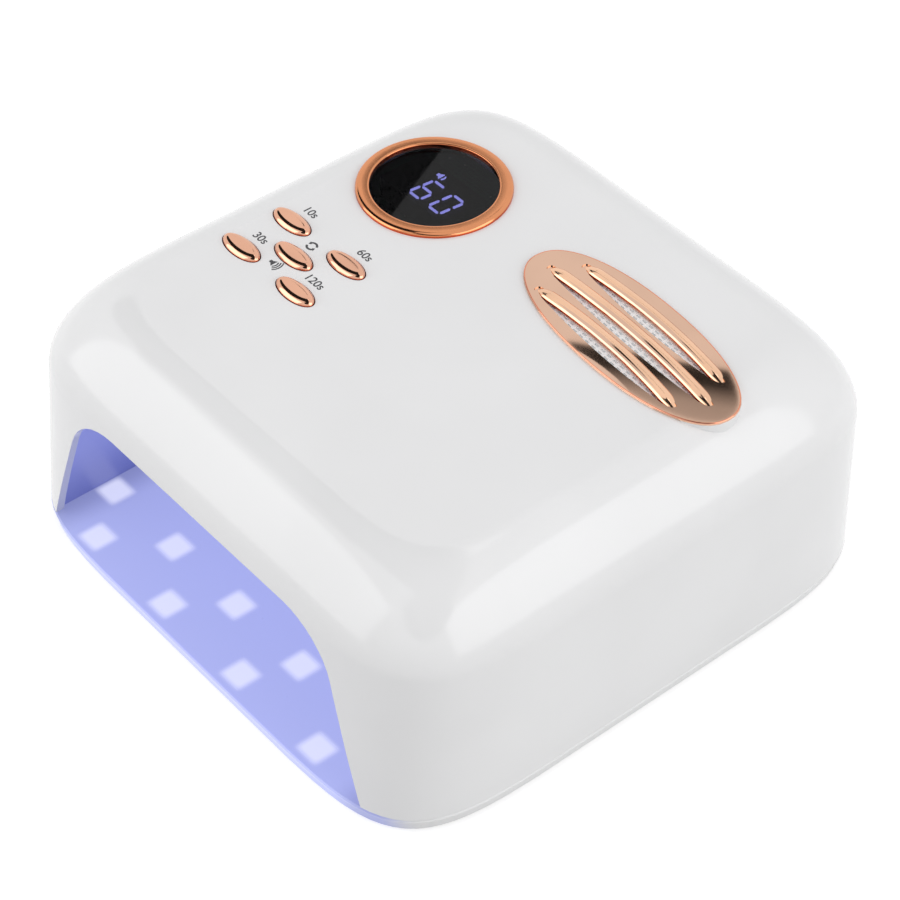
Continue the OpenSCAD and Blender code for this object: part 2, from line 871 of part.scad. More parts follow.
// Small loudspeaker sign with one wave, its mouth to the right
module sound_icon() {
    wave_r = [1.5, 1.9];
    wave_turn = 40;
    turns = [-1, -0.5, 0, 0.5, 1] * wave_turn;
    polygon([[-1.6, -0.6], [-0.8, -0.6], [0.4, -1.5], [0.4, 1.5], [-0.8, 0.6], [-1.6, 0.6]]);
    polygon(concat(
        [for (a = turns) wave_r[0] * [cos(a), sin(a)]],
        [for (a = turns) wave_r[1] * [cos(a), -sin(a)]]
    ));
}

module display_digits() {
    color("plum") at_display() translate([0, 0, module_top]) linear_extrude(digit_t) {
        translate([digits_at[0] - digit_pitch / 2, digits_at[1]]) digit([0, 2, 3, 4, 5, 6]);
        translate([digits_at[0] + digit_pitch / 2, digits_at[1]]) digit([0, 1, 2, 3, 4, 5]);
        translate(icon_at) sound_icon();
    }
}

// Vent and fan

vent_fullness = 2.2;
vent_lip = 3;
mesh_t = 0.8;
mesh_z = inner_top + 1.2;
side_slot_l = slot_l - 12;
slot_ahead = 1.8;        // the slots lie this much in front of the grille's middle
slot_steps = 16;
slot_tip = 0.8;
bar_r = 1.5;
bar_end_y = 1.1;         // a bar's middle behind that of its slot, at its ends
bar_mid_y = 3.1;         // and halfway
bar_sink = 0.55;         // its middle line below the plate's face
bar_reach = 0.6;         // how far it runs past each end of the slot
bar_nose = 0.04;         // share of its length that each blunt end takes
pocket_end = 4.3;        // how far a slot's pocket reaches past the slot
pocket_depth = 0.4;
pocket_gap = 0.55;       // behind the bar
pocket_front = 0.3;      // in front of the slot
pocket_corner_r = 1.2;

// A value that is low at both ends of a slot and high halfway; u runs from 0 to 1
function bow(u, low, high) = low + (high - low) * (1 - pow(2 * u - 1, 2));

// Outline of length l between a front edge and a rear edge, each given by its low and high value
function bow_points(l, front, rear) = concat(
    [for (i = [0 : slot_steps]) let (u = i / slot_steps) [l * (u - 0.5), -bow(u, front[0], front[1])]],
    [for (i = [0 : slot_steps]) let (u = 1 - i / slot_steps) [l * (u - 0.5), bow(u, rear[0], rear[1])]]
);

slots = [for (i = [-1 : 1]) [i * slot_pitch - slot_ahead, i == 0 ? slot_l : side_slot_l]];

// Outline of what fits into the housing's hole for the vent
module vent_plug() {
    polygon(oval(vent_l - 2 * vent_lip - fit_gap, vent_w - 2 * vent_lip - fit_gap, vent_fullness));
}

// Opening of a slot of length l
module slot_hole(l) {
    edge = [slot_tip / 2, slot_w / 2];
    polygon(bow_points(l, edge, edge));
}

// Shallow pocket that holds a slot and its bar, rounded at its corners
module slot_pocket(l) {
    front = [slot_tip / 2, slot_w / 2 + pocket_front];
    rear = [bar_end_y + 0.8 * bar_r, bar_mid_y + bar_r + pocket_gap];
    offset(r = pocket_corner_r, $fn = 24) offset(delta = -pocket_corner_r)
        polygon(bow_points(l + 2 * pocket_end, front, rear));
}

// Rounded bar over the rear edge of a slot, blunt at its ends and flat below
module slot_bar(l) {
    stations = concat(
        [0, bar_nose / 3, bar_nose], [for (i = [1 : 11]) i / 12], [1 - bar_nose, 1 - bar_nose / 3, 1]
    );
    z = body_h + vent_rise - bar_sink;
    path = [for (u = stations) [(l + 2 * bar_reach) * (u - 0.5), bow(u, bar_end_y, bar_mid_y), z]];
    radii = [for (u = stations)
        let (e = min(u, 1 - u) / bar_nose)
        e < 0.1 ? 0.45 * bar_r : e < 0.9 ? 0.8 * bar_r : bow(u, 0.85, 1) * bar_r];
    difference() {
        sweep(path, radii, 14);
        box_between([-vent_l, -vent_w, body_h - 3], [vent_l, vent_w, body_h + eps]);
    }
}

module vent_grille() {
    color("peru") at_vent() {
        difference() {
            union() {
                loft([
                    lift(oval(vent_l - 0.4, vent_w - 0.4, vent_fullness), body_h),
                    lift(oval(vent_l, vent_w, vent_fullness), body_h + 0.3),
                    lift(oval(vent_l - 0.5, vent_w - 0.5, vent_fullness), body_h + vent_rise)
                ]);
                translate([0, 0, mesh_z + mesh_t]) linear_extrude(body_h - mesh_z - mesh_t + eps)
                    vent_plug();
            }
            for (s = slots) translate([0, s[0], mesh_z]) linear_extrude(8) slot_hole(s[1]);
            for (s = slots) translate([0, s[0], body_h + vent_rise - pocket_depth]) linear_extrude(8)
                slot_pocket(s[1]);
        }
        for (s = slots) translate([0, s[0], 0]) slot_bar(s[1]);
    }
}

mesh_hole_l = 1.8;
mesh_hole_w = 0.8;
mesh_pitch_x = 3.15;
mesh_pitch_y = 1.5;

module vent_mesh() {
    color("white") at_vent() translate([0, 0, mesh_z]) linear_extrude(mesh_t) difference() {
        vent_plug();
        for (s = slots) {
            n = floor(s[1] * 0.42 / mesh_pitch_x);
            for (i = [-n : n]) for (j = [-0.5, 0.5])
                translate([i * mesh_pitch_x, s[0] + j * mesh_pitch_y])
                    square([mesh_hole_l, mesh_hole_w], center = true);
        }
    }
}

fan_bore_r = fan_w / 2 - 1.6;
hub_r = fan_w * 0.24;
hub_wall = 1.2;
tube_r = 2.6;
shaft_r = 1;
hub_base_z = fan_z + 2;
spoke_t = 1.2;
coil_h = 4;
pole_w = 4;

module fan_frame() {
    color("dimgray") at_vent() difference() {
        union() {
            difference() {
                box_between([-fan_w / 2, -fan_w / 2, fan_z], [fan_w / 2, fan_w / 2, fan_top]);
                pin_z(fan_bore_r, fan_z - 1, fan_top + 1);
            }
            pin_z(hub_r, fan_z, fan_z + spoke_t);
            for (a = [45 : 90 : 315]) rotate(a)
                box_between([0, -spoke_t, fan_z], [fan_bore_r + 1, spoke_t, fan_z + spoke_t]);
            pin_z(tube_r, fan_z, hub_base_z + coil_h + 0.6);
        }
        pin_z(shaft_r + bearing_gap, fan_z + 0.8, fan_top);
        for (x = [-0.5, 0.5]) for (y = [-0.5, 0.5]) translate([x * fan_hole_pitch, y * fan_hole_pitch, 0])
            pin_z(screw_pass_r, fan_z - 1, fan_top + 1);
    }
}

module fan_coil() {
    poles = 4;
    color("chocolate") at_vent() difference() {
        union() {
            pin_z(tube_r + pole_w / 2, hub_base_z, hub_base_z + coil_h);
            for (i = [0 : poles - 1]) rotate(360 * i / poles) box_between(
                [0, -pole_w / 2, hub_base_z + 0.15 * coil_h],
                [hub_r - hub_wall - 1, pole_w / 2, hub_base_z + 0.85 * coil_h]
            );
        }
        pin_z(tube_r + seat_gap, hub_base_z - 1, hub_base_z + coil_h + 1);
    }
}

module fan_screws() {
    color("silver") at_fan_holes() screw_up(fan_z - screw_head_h, inner_top - hole_skin - 1);
}

module fan_rotor() {
    hub_z = hub_base_z - 0.4;
    hub_top = fan_top - 0.8;
    blade_l = fan_bore_r - 1 - hub_r;
    color("black") at_vent() {
        difference() {
            pin_z(hub_r, hub_z, hub_top);
            pin_z(hub_r - hub_wall, hub_z - 1, hub_top - hub_wall);
        }
        pin_z(shaft_r, fan_z + 1.4, hub_top - hub_wall + eps);
        for (i = [0 : fan_blades - 1]) rotate(360 * i / fan_blades)
            translate([hub_r - 0.3, 0, (hub_z + hub_top) / 2]) rotate([38, 0, 0])
                translate([0, -3.6, -0.45]) cube([blade_l, 7.2, 0.9]);
    }
}

// Power inlet and leads

jack_r = jack_bore_r + 2.25;
jack_l = 14;
jack_recess = 1.4;
jack_face_y = body_d / 2 - rear_lean * jack_z - jack_recess;
jack_front_y = jack_face_y - jack_l;
jack_depth = 9.5;
pin_recess = 0.8;
pin_root = 1.8;          // how far the pin is pressed into the inlet's body
pin_root_r = jack_pin_r + 0.6;

module at_jack() {
    translate([jack_x, jack_face_y, jack_z]) rotate([90, 0, 0]) children();
}

module dc_jack() {
    color("black") at_jack() difference() {
        cylinder(r = jack_r, h = jack_l);
        pin_z(jack_bore_r, -1, jack_depth);
        pin_z(pin_root_r, jack_depth - 1, jack_depth + pin_root);
    }
}

module jack_pin() {
    color("silver") at_jack() {
        pin_z(jack_pin_r, pin_recess, jack_depth);
        pin_z(pin_root_r, jack_depth, jack_depth + pin_root);
    }
}

lead_r = 1.1;
fan_lead_r = 0.8;
lead_z = board_z - 2.2;

lead_straight = 4;       // length that a lead runs straight out of a socket
lead_reach = 12;         // length over which a lead bends towards a socket

// A place given in the vent's own frame, at height z
function vent_place(x, y, z) = [
    vent_x + x * cos(vent_turn) - y * sin(vent_turn), vent_y + x * sin(vent_turn) + y * cos(vent_turn), z
];

// Points of a lead's last stretch, into the socket at y; side shifts where the bend begins
function into_socket(y, side, z) = [
    [board_x[1] + lead_reach, y + side, z],
    [board_x[1] + lead_straight, y, lead_z],
    [board_x[1], y, lead_z]
];

module power_lead() {
    rise_y = (tunnel_rear_y + liner_wall + jack_front_y) / 2;
    color("black") lead(concat([
        [jack_x, jack_front_y, jack_z],
        [jack_x, jack_front_y - lead_straight / 2, jack_z],
        [jack_x, rise_y, jack_z + 3],
        [jack_x, rise_y, liner_top / 2],
        [jack_x - 2, rise_y, liner_top - 14],
        [jack_x - 9, rise_y, liner_top + 2],
        [jack_x - 22, rise_y - 2, lead_z - 1],
        [vent_x - fan_w / 2 - 8, (rise_y + vent_y + fan_w / 2) / 2, lead_z]
    ], into_socket(socket_rows[0], 2, lead_z)), lead_r);
}

module fan_lead() {
    x = -fan_w / 2;
    y = -6;
    z = lead_z + 0.6;
    color("red") lead(concat([
        vent_place(x, y, lead_z),
        vent_place(x - lead_straight, y, lead_z),
        vent_place(x - lead_reach, y + 1, z)
    ], into_socket(socket_rows[1], 1, z)), fan_lead_r);
}

rubber_feet();
tray_cover();
tray_screws();
tray_led_board();
tray_leds();
base_tray();
tray_windows();
tray_magnets();
tray_contacts();
top_shell();
reflector();
reflector_screws();
housing_magnets();
spring_contacts();
ceiling_led_board();
ceiling_leds();
left_led_board();
left_leds();
right_led_board();
right_leds();
hand_sensor();
control_board();
board_screws();
tact_switches();
controller_chip();
capacitors();
buzzer();
lead_sockets();
display_module();
display_digits();
display_lens();
display_bezel();
vent_grille();
vent_mesh();
fan_frame();
fan_coil();
fan_screws();
fan_rotor();
dc_jack();
jack_pin();
power_lead();
fan_lead();
button_10s();
button_60s();
button_30s();
button_120s();
button_cycle();
plunger_10s();
plunger_60s();
plunger_30s();
plunger_120s();
plunger_cycle();
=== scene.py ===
"""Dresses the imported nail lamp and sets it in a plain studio.

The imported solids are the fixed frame. Each sub-assembly is a class that holds its sizes, models the pieces
that need more than the solids give, and gives every piece its finish. Sizes of the lamp are in millimetres
and are turned into metres where they reach Blender. Places and sizes in the studio are in metres.
"""

from __future__ import annotations

import logging
import math
import sys
from dataclasses import dataclass, field
from enum import Enum
from functools import cache
from typing import Iterable, Sequence

import bpy
from mathutils import Matrix, Vector

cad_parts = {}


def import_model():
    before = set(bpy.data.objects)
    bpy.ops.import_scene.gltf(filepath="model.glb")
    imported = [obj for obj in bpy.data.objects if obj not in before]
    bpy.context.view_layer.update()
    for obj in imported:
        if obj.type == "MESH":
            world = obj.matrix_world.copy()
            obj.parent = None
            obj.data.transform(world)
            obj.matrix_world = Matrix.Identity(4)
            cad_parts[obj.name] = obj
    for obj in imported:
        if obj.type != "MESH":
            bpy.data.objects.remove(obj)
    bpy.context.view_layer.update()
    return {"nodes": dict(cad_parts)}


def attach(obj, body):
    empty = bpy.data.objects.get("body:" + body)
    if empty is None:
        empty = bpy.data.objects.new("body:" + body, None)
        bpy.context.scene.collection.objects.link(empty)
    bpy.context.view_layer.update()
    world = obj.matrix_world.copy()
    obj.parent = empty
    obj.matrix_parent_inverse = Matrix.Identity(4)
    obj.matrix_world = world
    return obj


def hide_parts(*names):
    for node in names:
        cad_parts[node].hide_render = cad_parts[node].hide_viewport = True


LOG = logging.getLogger("nail_lamp")
MM = 0.001
Colour = tuple[float, float, float]
Flat = tuple[float, float]
Point = tuple[float, float, float]
Socket = bpy.types.NodeSocket
BLACK: Colour = (0.0, 0.0, 0.0)
# What a span gives at its two ends where it falls instead of rising.
FALLING: Flat = (1.0, 0.0)
# Corners of a solid that are closer than this, in millimetres, are one corner.
WELD_DISTANCE = 0.002
# Faces of a solid that meet at less than this lie in one plane.
FLAT_DEGREES = 0.6


class Body(Enum):
    """The bodies that new pieces ride on, apart from the keys."""

    TRAY = "tray"
    HOUSING = "housing"


def metres(*lengths: float) -> tuple[float, ...]:
    """Turns lengths in millimetres into metres."""
    return tuple(length * MM for length in lengths)


# Node trees


class Sketch:
    """Adds nodes to one node tree in few words."""

    def __init__(self, tree: bpy.types.NodeTree) -> None:
        """Keeps the tree.

        Args:
            tree: The tree of a material, a world or a node group.
        """
        self.tree = tree

    def feed(self, socket: Socket, value: object) -> None:
        """Links a socket, or sets its own value.

        Args:
            socket: The input to feed.
            value: An output socket to link, or a plain value.
        """
        if isinstance(value, bpy.types.NodeSocket):
            self.tree.links.new(value, socket)
        elif isinstance(value, tuple) and len(value) == 3 and socket.type == "RGBA":
            socket.default_value = (*value, 1.0)
        else:
            socket.default_value = value

    def feed_all(self, made: bpy.types.Node, inputs: dict[str, object]) -> None:
        """Feeds inputs of a node, by socket name."""
        for name, value in inputs.items():
            self.feed(made.inputs[name], value)

    def node(
        self, kind: str, inputs: dict[str, object] | None = None, **settings: object
    ) -> bpy.types.Node:
        """Adds a node.

        Args:
            kind: The node's type name without its ShaderNode prefix.
            inputs: What to feed to inputs, by socket name.
            **settings: Attributes of the node.

        Returns:
            The new node.
        """
        made = self.tree.nodes.new("ShaderNode" + kind)
        for name, value in settings.items():
            setattr(made, name, value)
        self.feed_all(made, inputs or {})
        return made

    def math(self, operation: str, *values: object) -> Socket:
        """Adds a Math node.

        Args:
            operation: The operation's name.
            *values: Its one to three operands.

        Returns:
            The result.
        """
        made = self.node("Math", operation=operation)
        for socket, value in zip(made.inputs, values):
            self.feed(socket, value)
        return made.outputs[0]

    def mix(self, factor: object, first: object, second: object) -> Socket:
        """Mixes two colours.

        Args:
            factor: The share of the second colour.
            first: The colour at 0.
            second: The colour at 1.

        Returns:
            The mixed colour.
        """
        # The colours are the node's inputs 6 and 7 and its output 2, after those for values and vectors.
        made = self.node("Mix", data_type="RGBA")
        for index, value in zip((0, 6, 7), (factor, first, second)):
            self.feed(made.inputs[index], value)
        return made.outputs[2]

    def span(self, value: object, ends: Sequence[object], results: Flat = (0.0, 1.0)) -> Socket:
        """Turns one range into another with soft ends.

        Args:
            value: The value to turn.
            ends: Where the range starts and ends.
            results: The results there.

        Returns:
            The result, kept within its two ends.
        """
        made = self.node("MapRange", interpolation_type="SMOOTHSTEP")
        labels = ("Value", "From Min", "From Max", "To Min", "To Max")
        self.feed_all(made, dict(zip(labels, (value, *ends, *results))))
        return made.outputs["Result"]

    def noise(self, vector: Socket, scale: object, detail: float = 2.0, roughness: float = 0.5) -> Socket:
        """Adds a Noise texture.

        Args:
            vector: Where to read it.
            scale: Features per metre.
            detail: Number of octaves.
            roughness: Strength of the finer octaves.

        Returns:
            Its value.
        """
        made = self.node(
            "TexNoise", {"Vector": vector, "Scale": scale, "Detail": detail, "Roughness": roughness}
        )
        return made.outputs["Fac"]

    def bump(self, height: Socket, depth: float, strength: float = 1.0) -> Socket:
        """Turns a height into a normal.

        Args:
            height: The height, about 0 to 1.
            depth: Depth of the relief in millimetres.
            strength: Strength of the bump.

        Returns:
            The normal.
        """
        made = self.node("Bump", {"Height": height, "Strength": strength, "Distance": depth * MM})
        return made.outputs["Normal"]

    def effect(self, tree: bpy.types.NodeTree, **values: object) -> bpy.types.NodeOutputs:
        """Places a node group, feeds its inputs by name and returns its outputs."""
        return self.node("Group", values, node_tree=tree).outputs

    def find(self, kind: str) -> bpy.types.Node:
        """Returns the node of a type that the tree came with."""
        return next(node for node in self.tree.nodes if node.type == kind)

    def place(self) -> Socket:
        """Returns Object coordinates."""
        return self.node("TexCoord").outputs["Object"]

    def split(self, vector: Socket) -> tuple[Socket, Socket, Socket]:
        """Returns the three parts of a vector."""
        made = self.node("SeparateXYZ", {"Vector": vector})
        return made.outputs[0], made.outputs[1], made.outputs[2]


def new_group(
    name: str, inputs: dict[str, float | None], outputs: Sequence[str]
) -> tuple[Sketch, bpy.types.NodeOutputs, bpy.types.Node]:
    """Starts a shader node group.

    Args:
        name: The group's name.
        inputs: The default of each input, by name, and None for a vector.
        outputs: Names of the outputs, which are all values.

    Returns:
        The group's sketch, what it is given, and the node that takes its results.
    """
    tree = bpy.data.node_groups.new(name, "ShaderNodeTree")
    for label, default in inputs.items():
        kind = "NodeSocketVector" if default is None else "NodeSocketFloat"
        socket = tree.interface.new_socket(label, in_out="INPUT", socket_type=kind)
        if default is not None:
            socket.default_value = default
    for label in outputs:
        tree.interface.new_socket(label, in_out="OUTPUT", socket_type="NodeSocketFloat")
    given = tree.nodes.new("NodeGroupInput").outputs
    return Sketch(tree), given, tree.nodes.new("NodeGroupOutput")


class Effects:
    """Shader node groups, each built once and placed in materials with their own values."""

    @cache
    def grain(self) -> bpy.types.NodeTree:
        """Builds moulded or cast grain: fine texture and slow mottling."""
        s, given, end = new_group("grain", {"Vector": None, "Scale": 900.0}, ["Fine", "Mottling", "Height"])
        fine = s.noise(given["Vector"], given["Scale"], detail=4.0, roughness=0.6)
        slow = s.noise(given["Vector"], s.math("MULTIPLY", given["Scale"], 0.045))
        s.feed_all(end, {
            "Fine": fine,
            "Mottling": s.span(slow, (0.3, 0.7)),
            "Height": s.math("MULTIPLY_ADD", slow, 2.0, fine),
        })
        return s.tree

    @cache
    def handling(self) -> bpy.types.NodeTree:
        """Builds marks of handling: faint smears and short scuffs."""
        s, given, end = new_group("handling", {"Vector": None, "Amount": 1.0}, ["Smears", "Scuffs"])
        place, amount = given["Vector"], given["Amount"]
        smear = s.span(s.noise(place, 26.0, detail=3.0, roughness=0.65), (0.48, 0.75))
        stretched = {"Vector": place, "Rotation": (0.3, 0.2, 0.7), "Scale": (1.0, 14.0, 14.0)}
        turned = s.node("Mapping", stretched).outputs["Vector"]
        scuff = s.span(s.noise(turned, 90.0, detail=3.0, roughness=0.7), (0.66, 0.74))
        patch = s.span(s.noise(place, 14.0, detail=1.0), (0.52, 0.7))
        s.feed_all(end, {
            "Smears": s.math("MULTIPLY", smear, amount),
            "Scuffs": s.math("MULTIPLY", s.math("MULTIPLY", scuff, patch), amount),
        })
        return s.tree

    @cache
    def brushing(self) -> bpy.types.NodeTree:
        """Builds fine lines along one direction, as left by a brush or a tool."""
        s, given, end = new_group("brushing", {"Vector": None, "Scale": 60.0}, ["Lines"])
        drawn = s.node("Mapping", {"Vector": given["Vector"], "Scale": (1.0, 40.0, 40.0)}).outputs["Vector"]
        s.feed_all(end, {"Lines": s.noise(drawn, given["Scale"], detail=4.0, roughness=0.7)})
        return s.tree

    @cache
    def window_light(self) -> bpy.types.NodeTree:
        """Builds soft squares of light in a row along X, all sizes in metres."""
        inputs = {"Vector": None, "First": 0.0, "Pitch": 0.04, "Count": 4.0, "Row": -0.1, "Half": 0.0047}
        s, given, end = new_group("window_light", {**inputs, "Softness": 0.0016}, ["Light"])
        squareness = 6.0
        x, y, _ = s.split(given["Vector"])
        half_pitch = s.math("MULTIPLY", given["Pitch"], 0.5)
        other_half = s.math("MULTIPLY", half_pitch, -1.0)
        from_first = s.math("SUBTRACT", x, given["First"])
        across = s.math("ABSOLUTE", s.math("WRAP", from_first, half_pitch, other_half))
        along = s.math("ABSOLUTE", s.math("SUBTRACT", y, given["Row"]))
        in_mm = [s.math("MULTIPLY", part, 1 / MM) for part in (across, along)]
        corner = s.math("ADD", *(s.math("POWER", part, squareness) for part in in_mm))
        edge = s.math("MULTIPLY", s.math("POWER", corner, 1 / squareness), MM)
        inner = s.math("SUBTRACT", given["Half"], given["Softness"])
        outer = s.math("ADD", given["Half"], given["Softness"])
        fall = s.span(edge, (inner, outer), FALLING)
        pitches = s.math("SUBTRACT", given["Count"], 0.5)
        last = s.math("MULTIPLY_ADD", given["Pitch"], pitches, given["First"])
        before_last = s.math("LESS_THAN", x, last)
        after_first = s.math("GREATER_THAN", x, s.math("SUBTRACT", given["First"], half_pitch))
        in_row = s.math("MULTIPLY", before_last, after_first)
        s.feed_all(end, {"Light": s.math("MULTIPLY", fall, in_row)})
        return s.tree


EFFECTS = Effects()


def new_material(name: str) -> tuple[bpy.types.Material, Sketch, bpy.types.Node]:
    """Starts a material.

    Args:
        name: The material's name.

    Returns:
        The material, its sketch and its Principled shader.
    """
    material = bpy.data.materials.new(name)
    material.use_nodes = True
    sketch = Sketch(material.node_tree)
    return material, sketch, sketch.find("BSDF_PRINCIPLED")


def shade(colour: Colour, factor: float) -> Colour:
    """Returns a colour made lighter or darker."""
    return tuple(min(1.0, part * factor) for part in colour)


# Finishes


@dataclass(frozen=True)
class Plastic:
    """A moulded plastic, gloss or matt."""

    name: str
    colour: Colour
    roughness: float
    coat: float = 0.0
    grain: float = 900.0
    relief: float = 0.004
    mottling: float = 0.015
    handled: float = 0.5
    # What fine grain adds to the colour, and what smears and scuffs add to the roughness.
    speckle: float = 0.03
    smeared: float = 0.06
    scuffed: float = 0.12
    coat_roughness: float = 0.06

    def make(self) -> bpy.types.Material:
        """Builds the material."""
        material, s, shader = new_material(self.name)
        place = s.place()
        grain = s.effect(EFFECTS.grain(), Vector=place, Scale=self.grain)
        marks = s.effect(EFFECTS.handling(), Vector=place, Amount=self.handled)
        light, dark = shade(self.colour, 1 + self.mottling), shade(self.colour, 1 - self.mottling)
        tone = s.mix(grain["Mottling"], dark, light)
        rough = s.math("MULTIPLY_ADD", marks["Smears"], self.smeared, self.roughness)
        s.feed_all(shader, {
            "Base Color": s.mix(s.math("MULTIPLY", grain["Fine"], self.speckle), tone, light),
            "Roughness": s.math("MULTIPLY_ADD", marks["Scuffs"], self.scuffed, rough),
            "Coat Weight": self.coat,
            "Coat Roughness": self.coat_roughness,
            "Normal": s.bump(grain["Height"], self.relief),
        })
        return material


@dataclass(frozen=True)
class Metal:
    """A plated or bare metal with fine tool lines, and, if it has one, a deeper tone on its steep sides that
    is painted reflection.
    """

    name: str
    colour: Colour
    roughness: float
    # The colour of the painted reflection on steep sides, if any.
    sides: Colour | None = None
    brushing: float = 60.0
    relief: float = 0.002
    tarnish: float = 0.08
    handled: float = 0.4
    # The upward parts of the normal between which the painted reflection on the sides gives way.
    steepness: Flat = (0.08, 0.55)
    brushed: float = 0.4
    smeared: float = 0.05

    def make(self) -> bpy.types.Material:
        """Builds the material."""
        material, s, shader = new_material(self.name)
        place = s.place()
        lines = s.effect(EFFECTS.brushing(), Vector=place, Scale=self.brushing)["Lines"]
        marks = s.effect(EFFECTS.handling(), Vector=place, Amount=self.handled)
        worn = s.span(s.noise(place, 55.0, detail=3.0), (0.35, 0.7))
        tone = s.mix(worn, self.colour, shade(self.colour, 1 - self.tarnish))
        # Painted reflection: steep sides take the deeper tone, in place of the red-orange that curved
        # plating mirrors.
        if self.sides:
            _, _, up = s.split(s.node("NewGeometry").outputs["Normal"])
            tone = s.mix(s.span(up, self.steepness, FALLING), tone, self.sides)
        smoothest = self.roughness * (1 - self.brushed / 2)
        rough = s.math("MULTIPLY_ADD", lines, self.roughness * self.brushed, smoothest)
        s.feed_all(shader, {
            "Base Color": tone,
            "Metallic": 1.0,
            "Roughness": s.math("MULTIPLY_ADD", marks["Smears"], self.smeared, rough),
            "Normal": s.bump(lines, self.relief, strength=0.4),
        })
        return material


@dataclass(frozen=True)
class LitLining:
    """The tunnel's lining, which glows violet with painted light from the tunnel's beads, and is darker at
    its foot and towards the rear with painted shade.
    """

    name: str = "lit_lining"
    colour: Colour = (0.20, 0.22, 0.42)
    # The painted light's colour at the lining's foot, dimmed there as painted shade, and at its top; then
    # the heights and depths over which it changes, and what is left of it at the rear.
    low: Colour = (0.035, 0.042, 0.15)
    high: Colour = (0.12, 0.135, 0.33)
    rise_z: Flat = (6.0, 46.0)
    depth_y: Flat = (-100.0, 60.0)
    rear_share: float = 0.8
    mottling: float = 0.04
    roughness: float = 0.28
    relief: float = 0.004

    def make(self) -> bpy.types.Material:
        """Builds the material."""
        material, s, shader = new_material(self.name)
        place = s.place()
        _, y, z = s.split(place)
        grain = s.effect(EFFECTS.grain(), Vector=place, Scale=600.0)
        # Painted shade: the painted glow is dimmer low down and towards the rear.
        rise = s.span(z, metres(*self.rise_z))
        deep = s.span(y, metres(*self.depth_y), (1.0, self.rear_share))
        s.feed_all(shader, {
            "Base Color": s.mix(grain["Mottling"], shade(self.colour, 1 - self.mottling), self.colour),
            "Emission Color": s.mix(deep, BLACK, s.mix(rise, self.low, self.high)),
            "Emission Strength": 1.0,
            "Roughness": s.math("MULTIPLY_ADD", grain["Fine"], 0.1, self.roughness),
            "Normal": s.bump(grain["Height"], self.relief),
        })
        return material


@dataclass(frozen=True)
class WindowRow:
    """A row of light windows in the tray, by its first window's place."""

    count: int
    first: float
    pitch: float
    y: float
    half: float = 4.7
    softness: float = 1.6

    def light(self, s: Sketch, place: Socket) -> Socket:
        """Places the soft squares of the row in a material.

        Args:
            s: The material's sketch.
            place: Object coordinates.

        Returns:
            How far each point lies in the light, 0 to 1.
        """
        first, pitch, row, half, softness = metres(self.first, self.pitch, self.y, self.half, self.softness)
        made = s.effect(
            EFFECTS.window_light(), Vector=place, First=first, Pitch=pitch, Count=float(self.count),
            Row=row, Half=half, Softness=softness
        )
        return made["Light"]


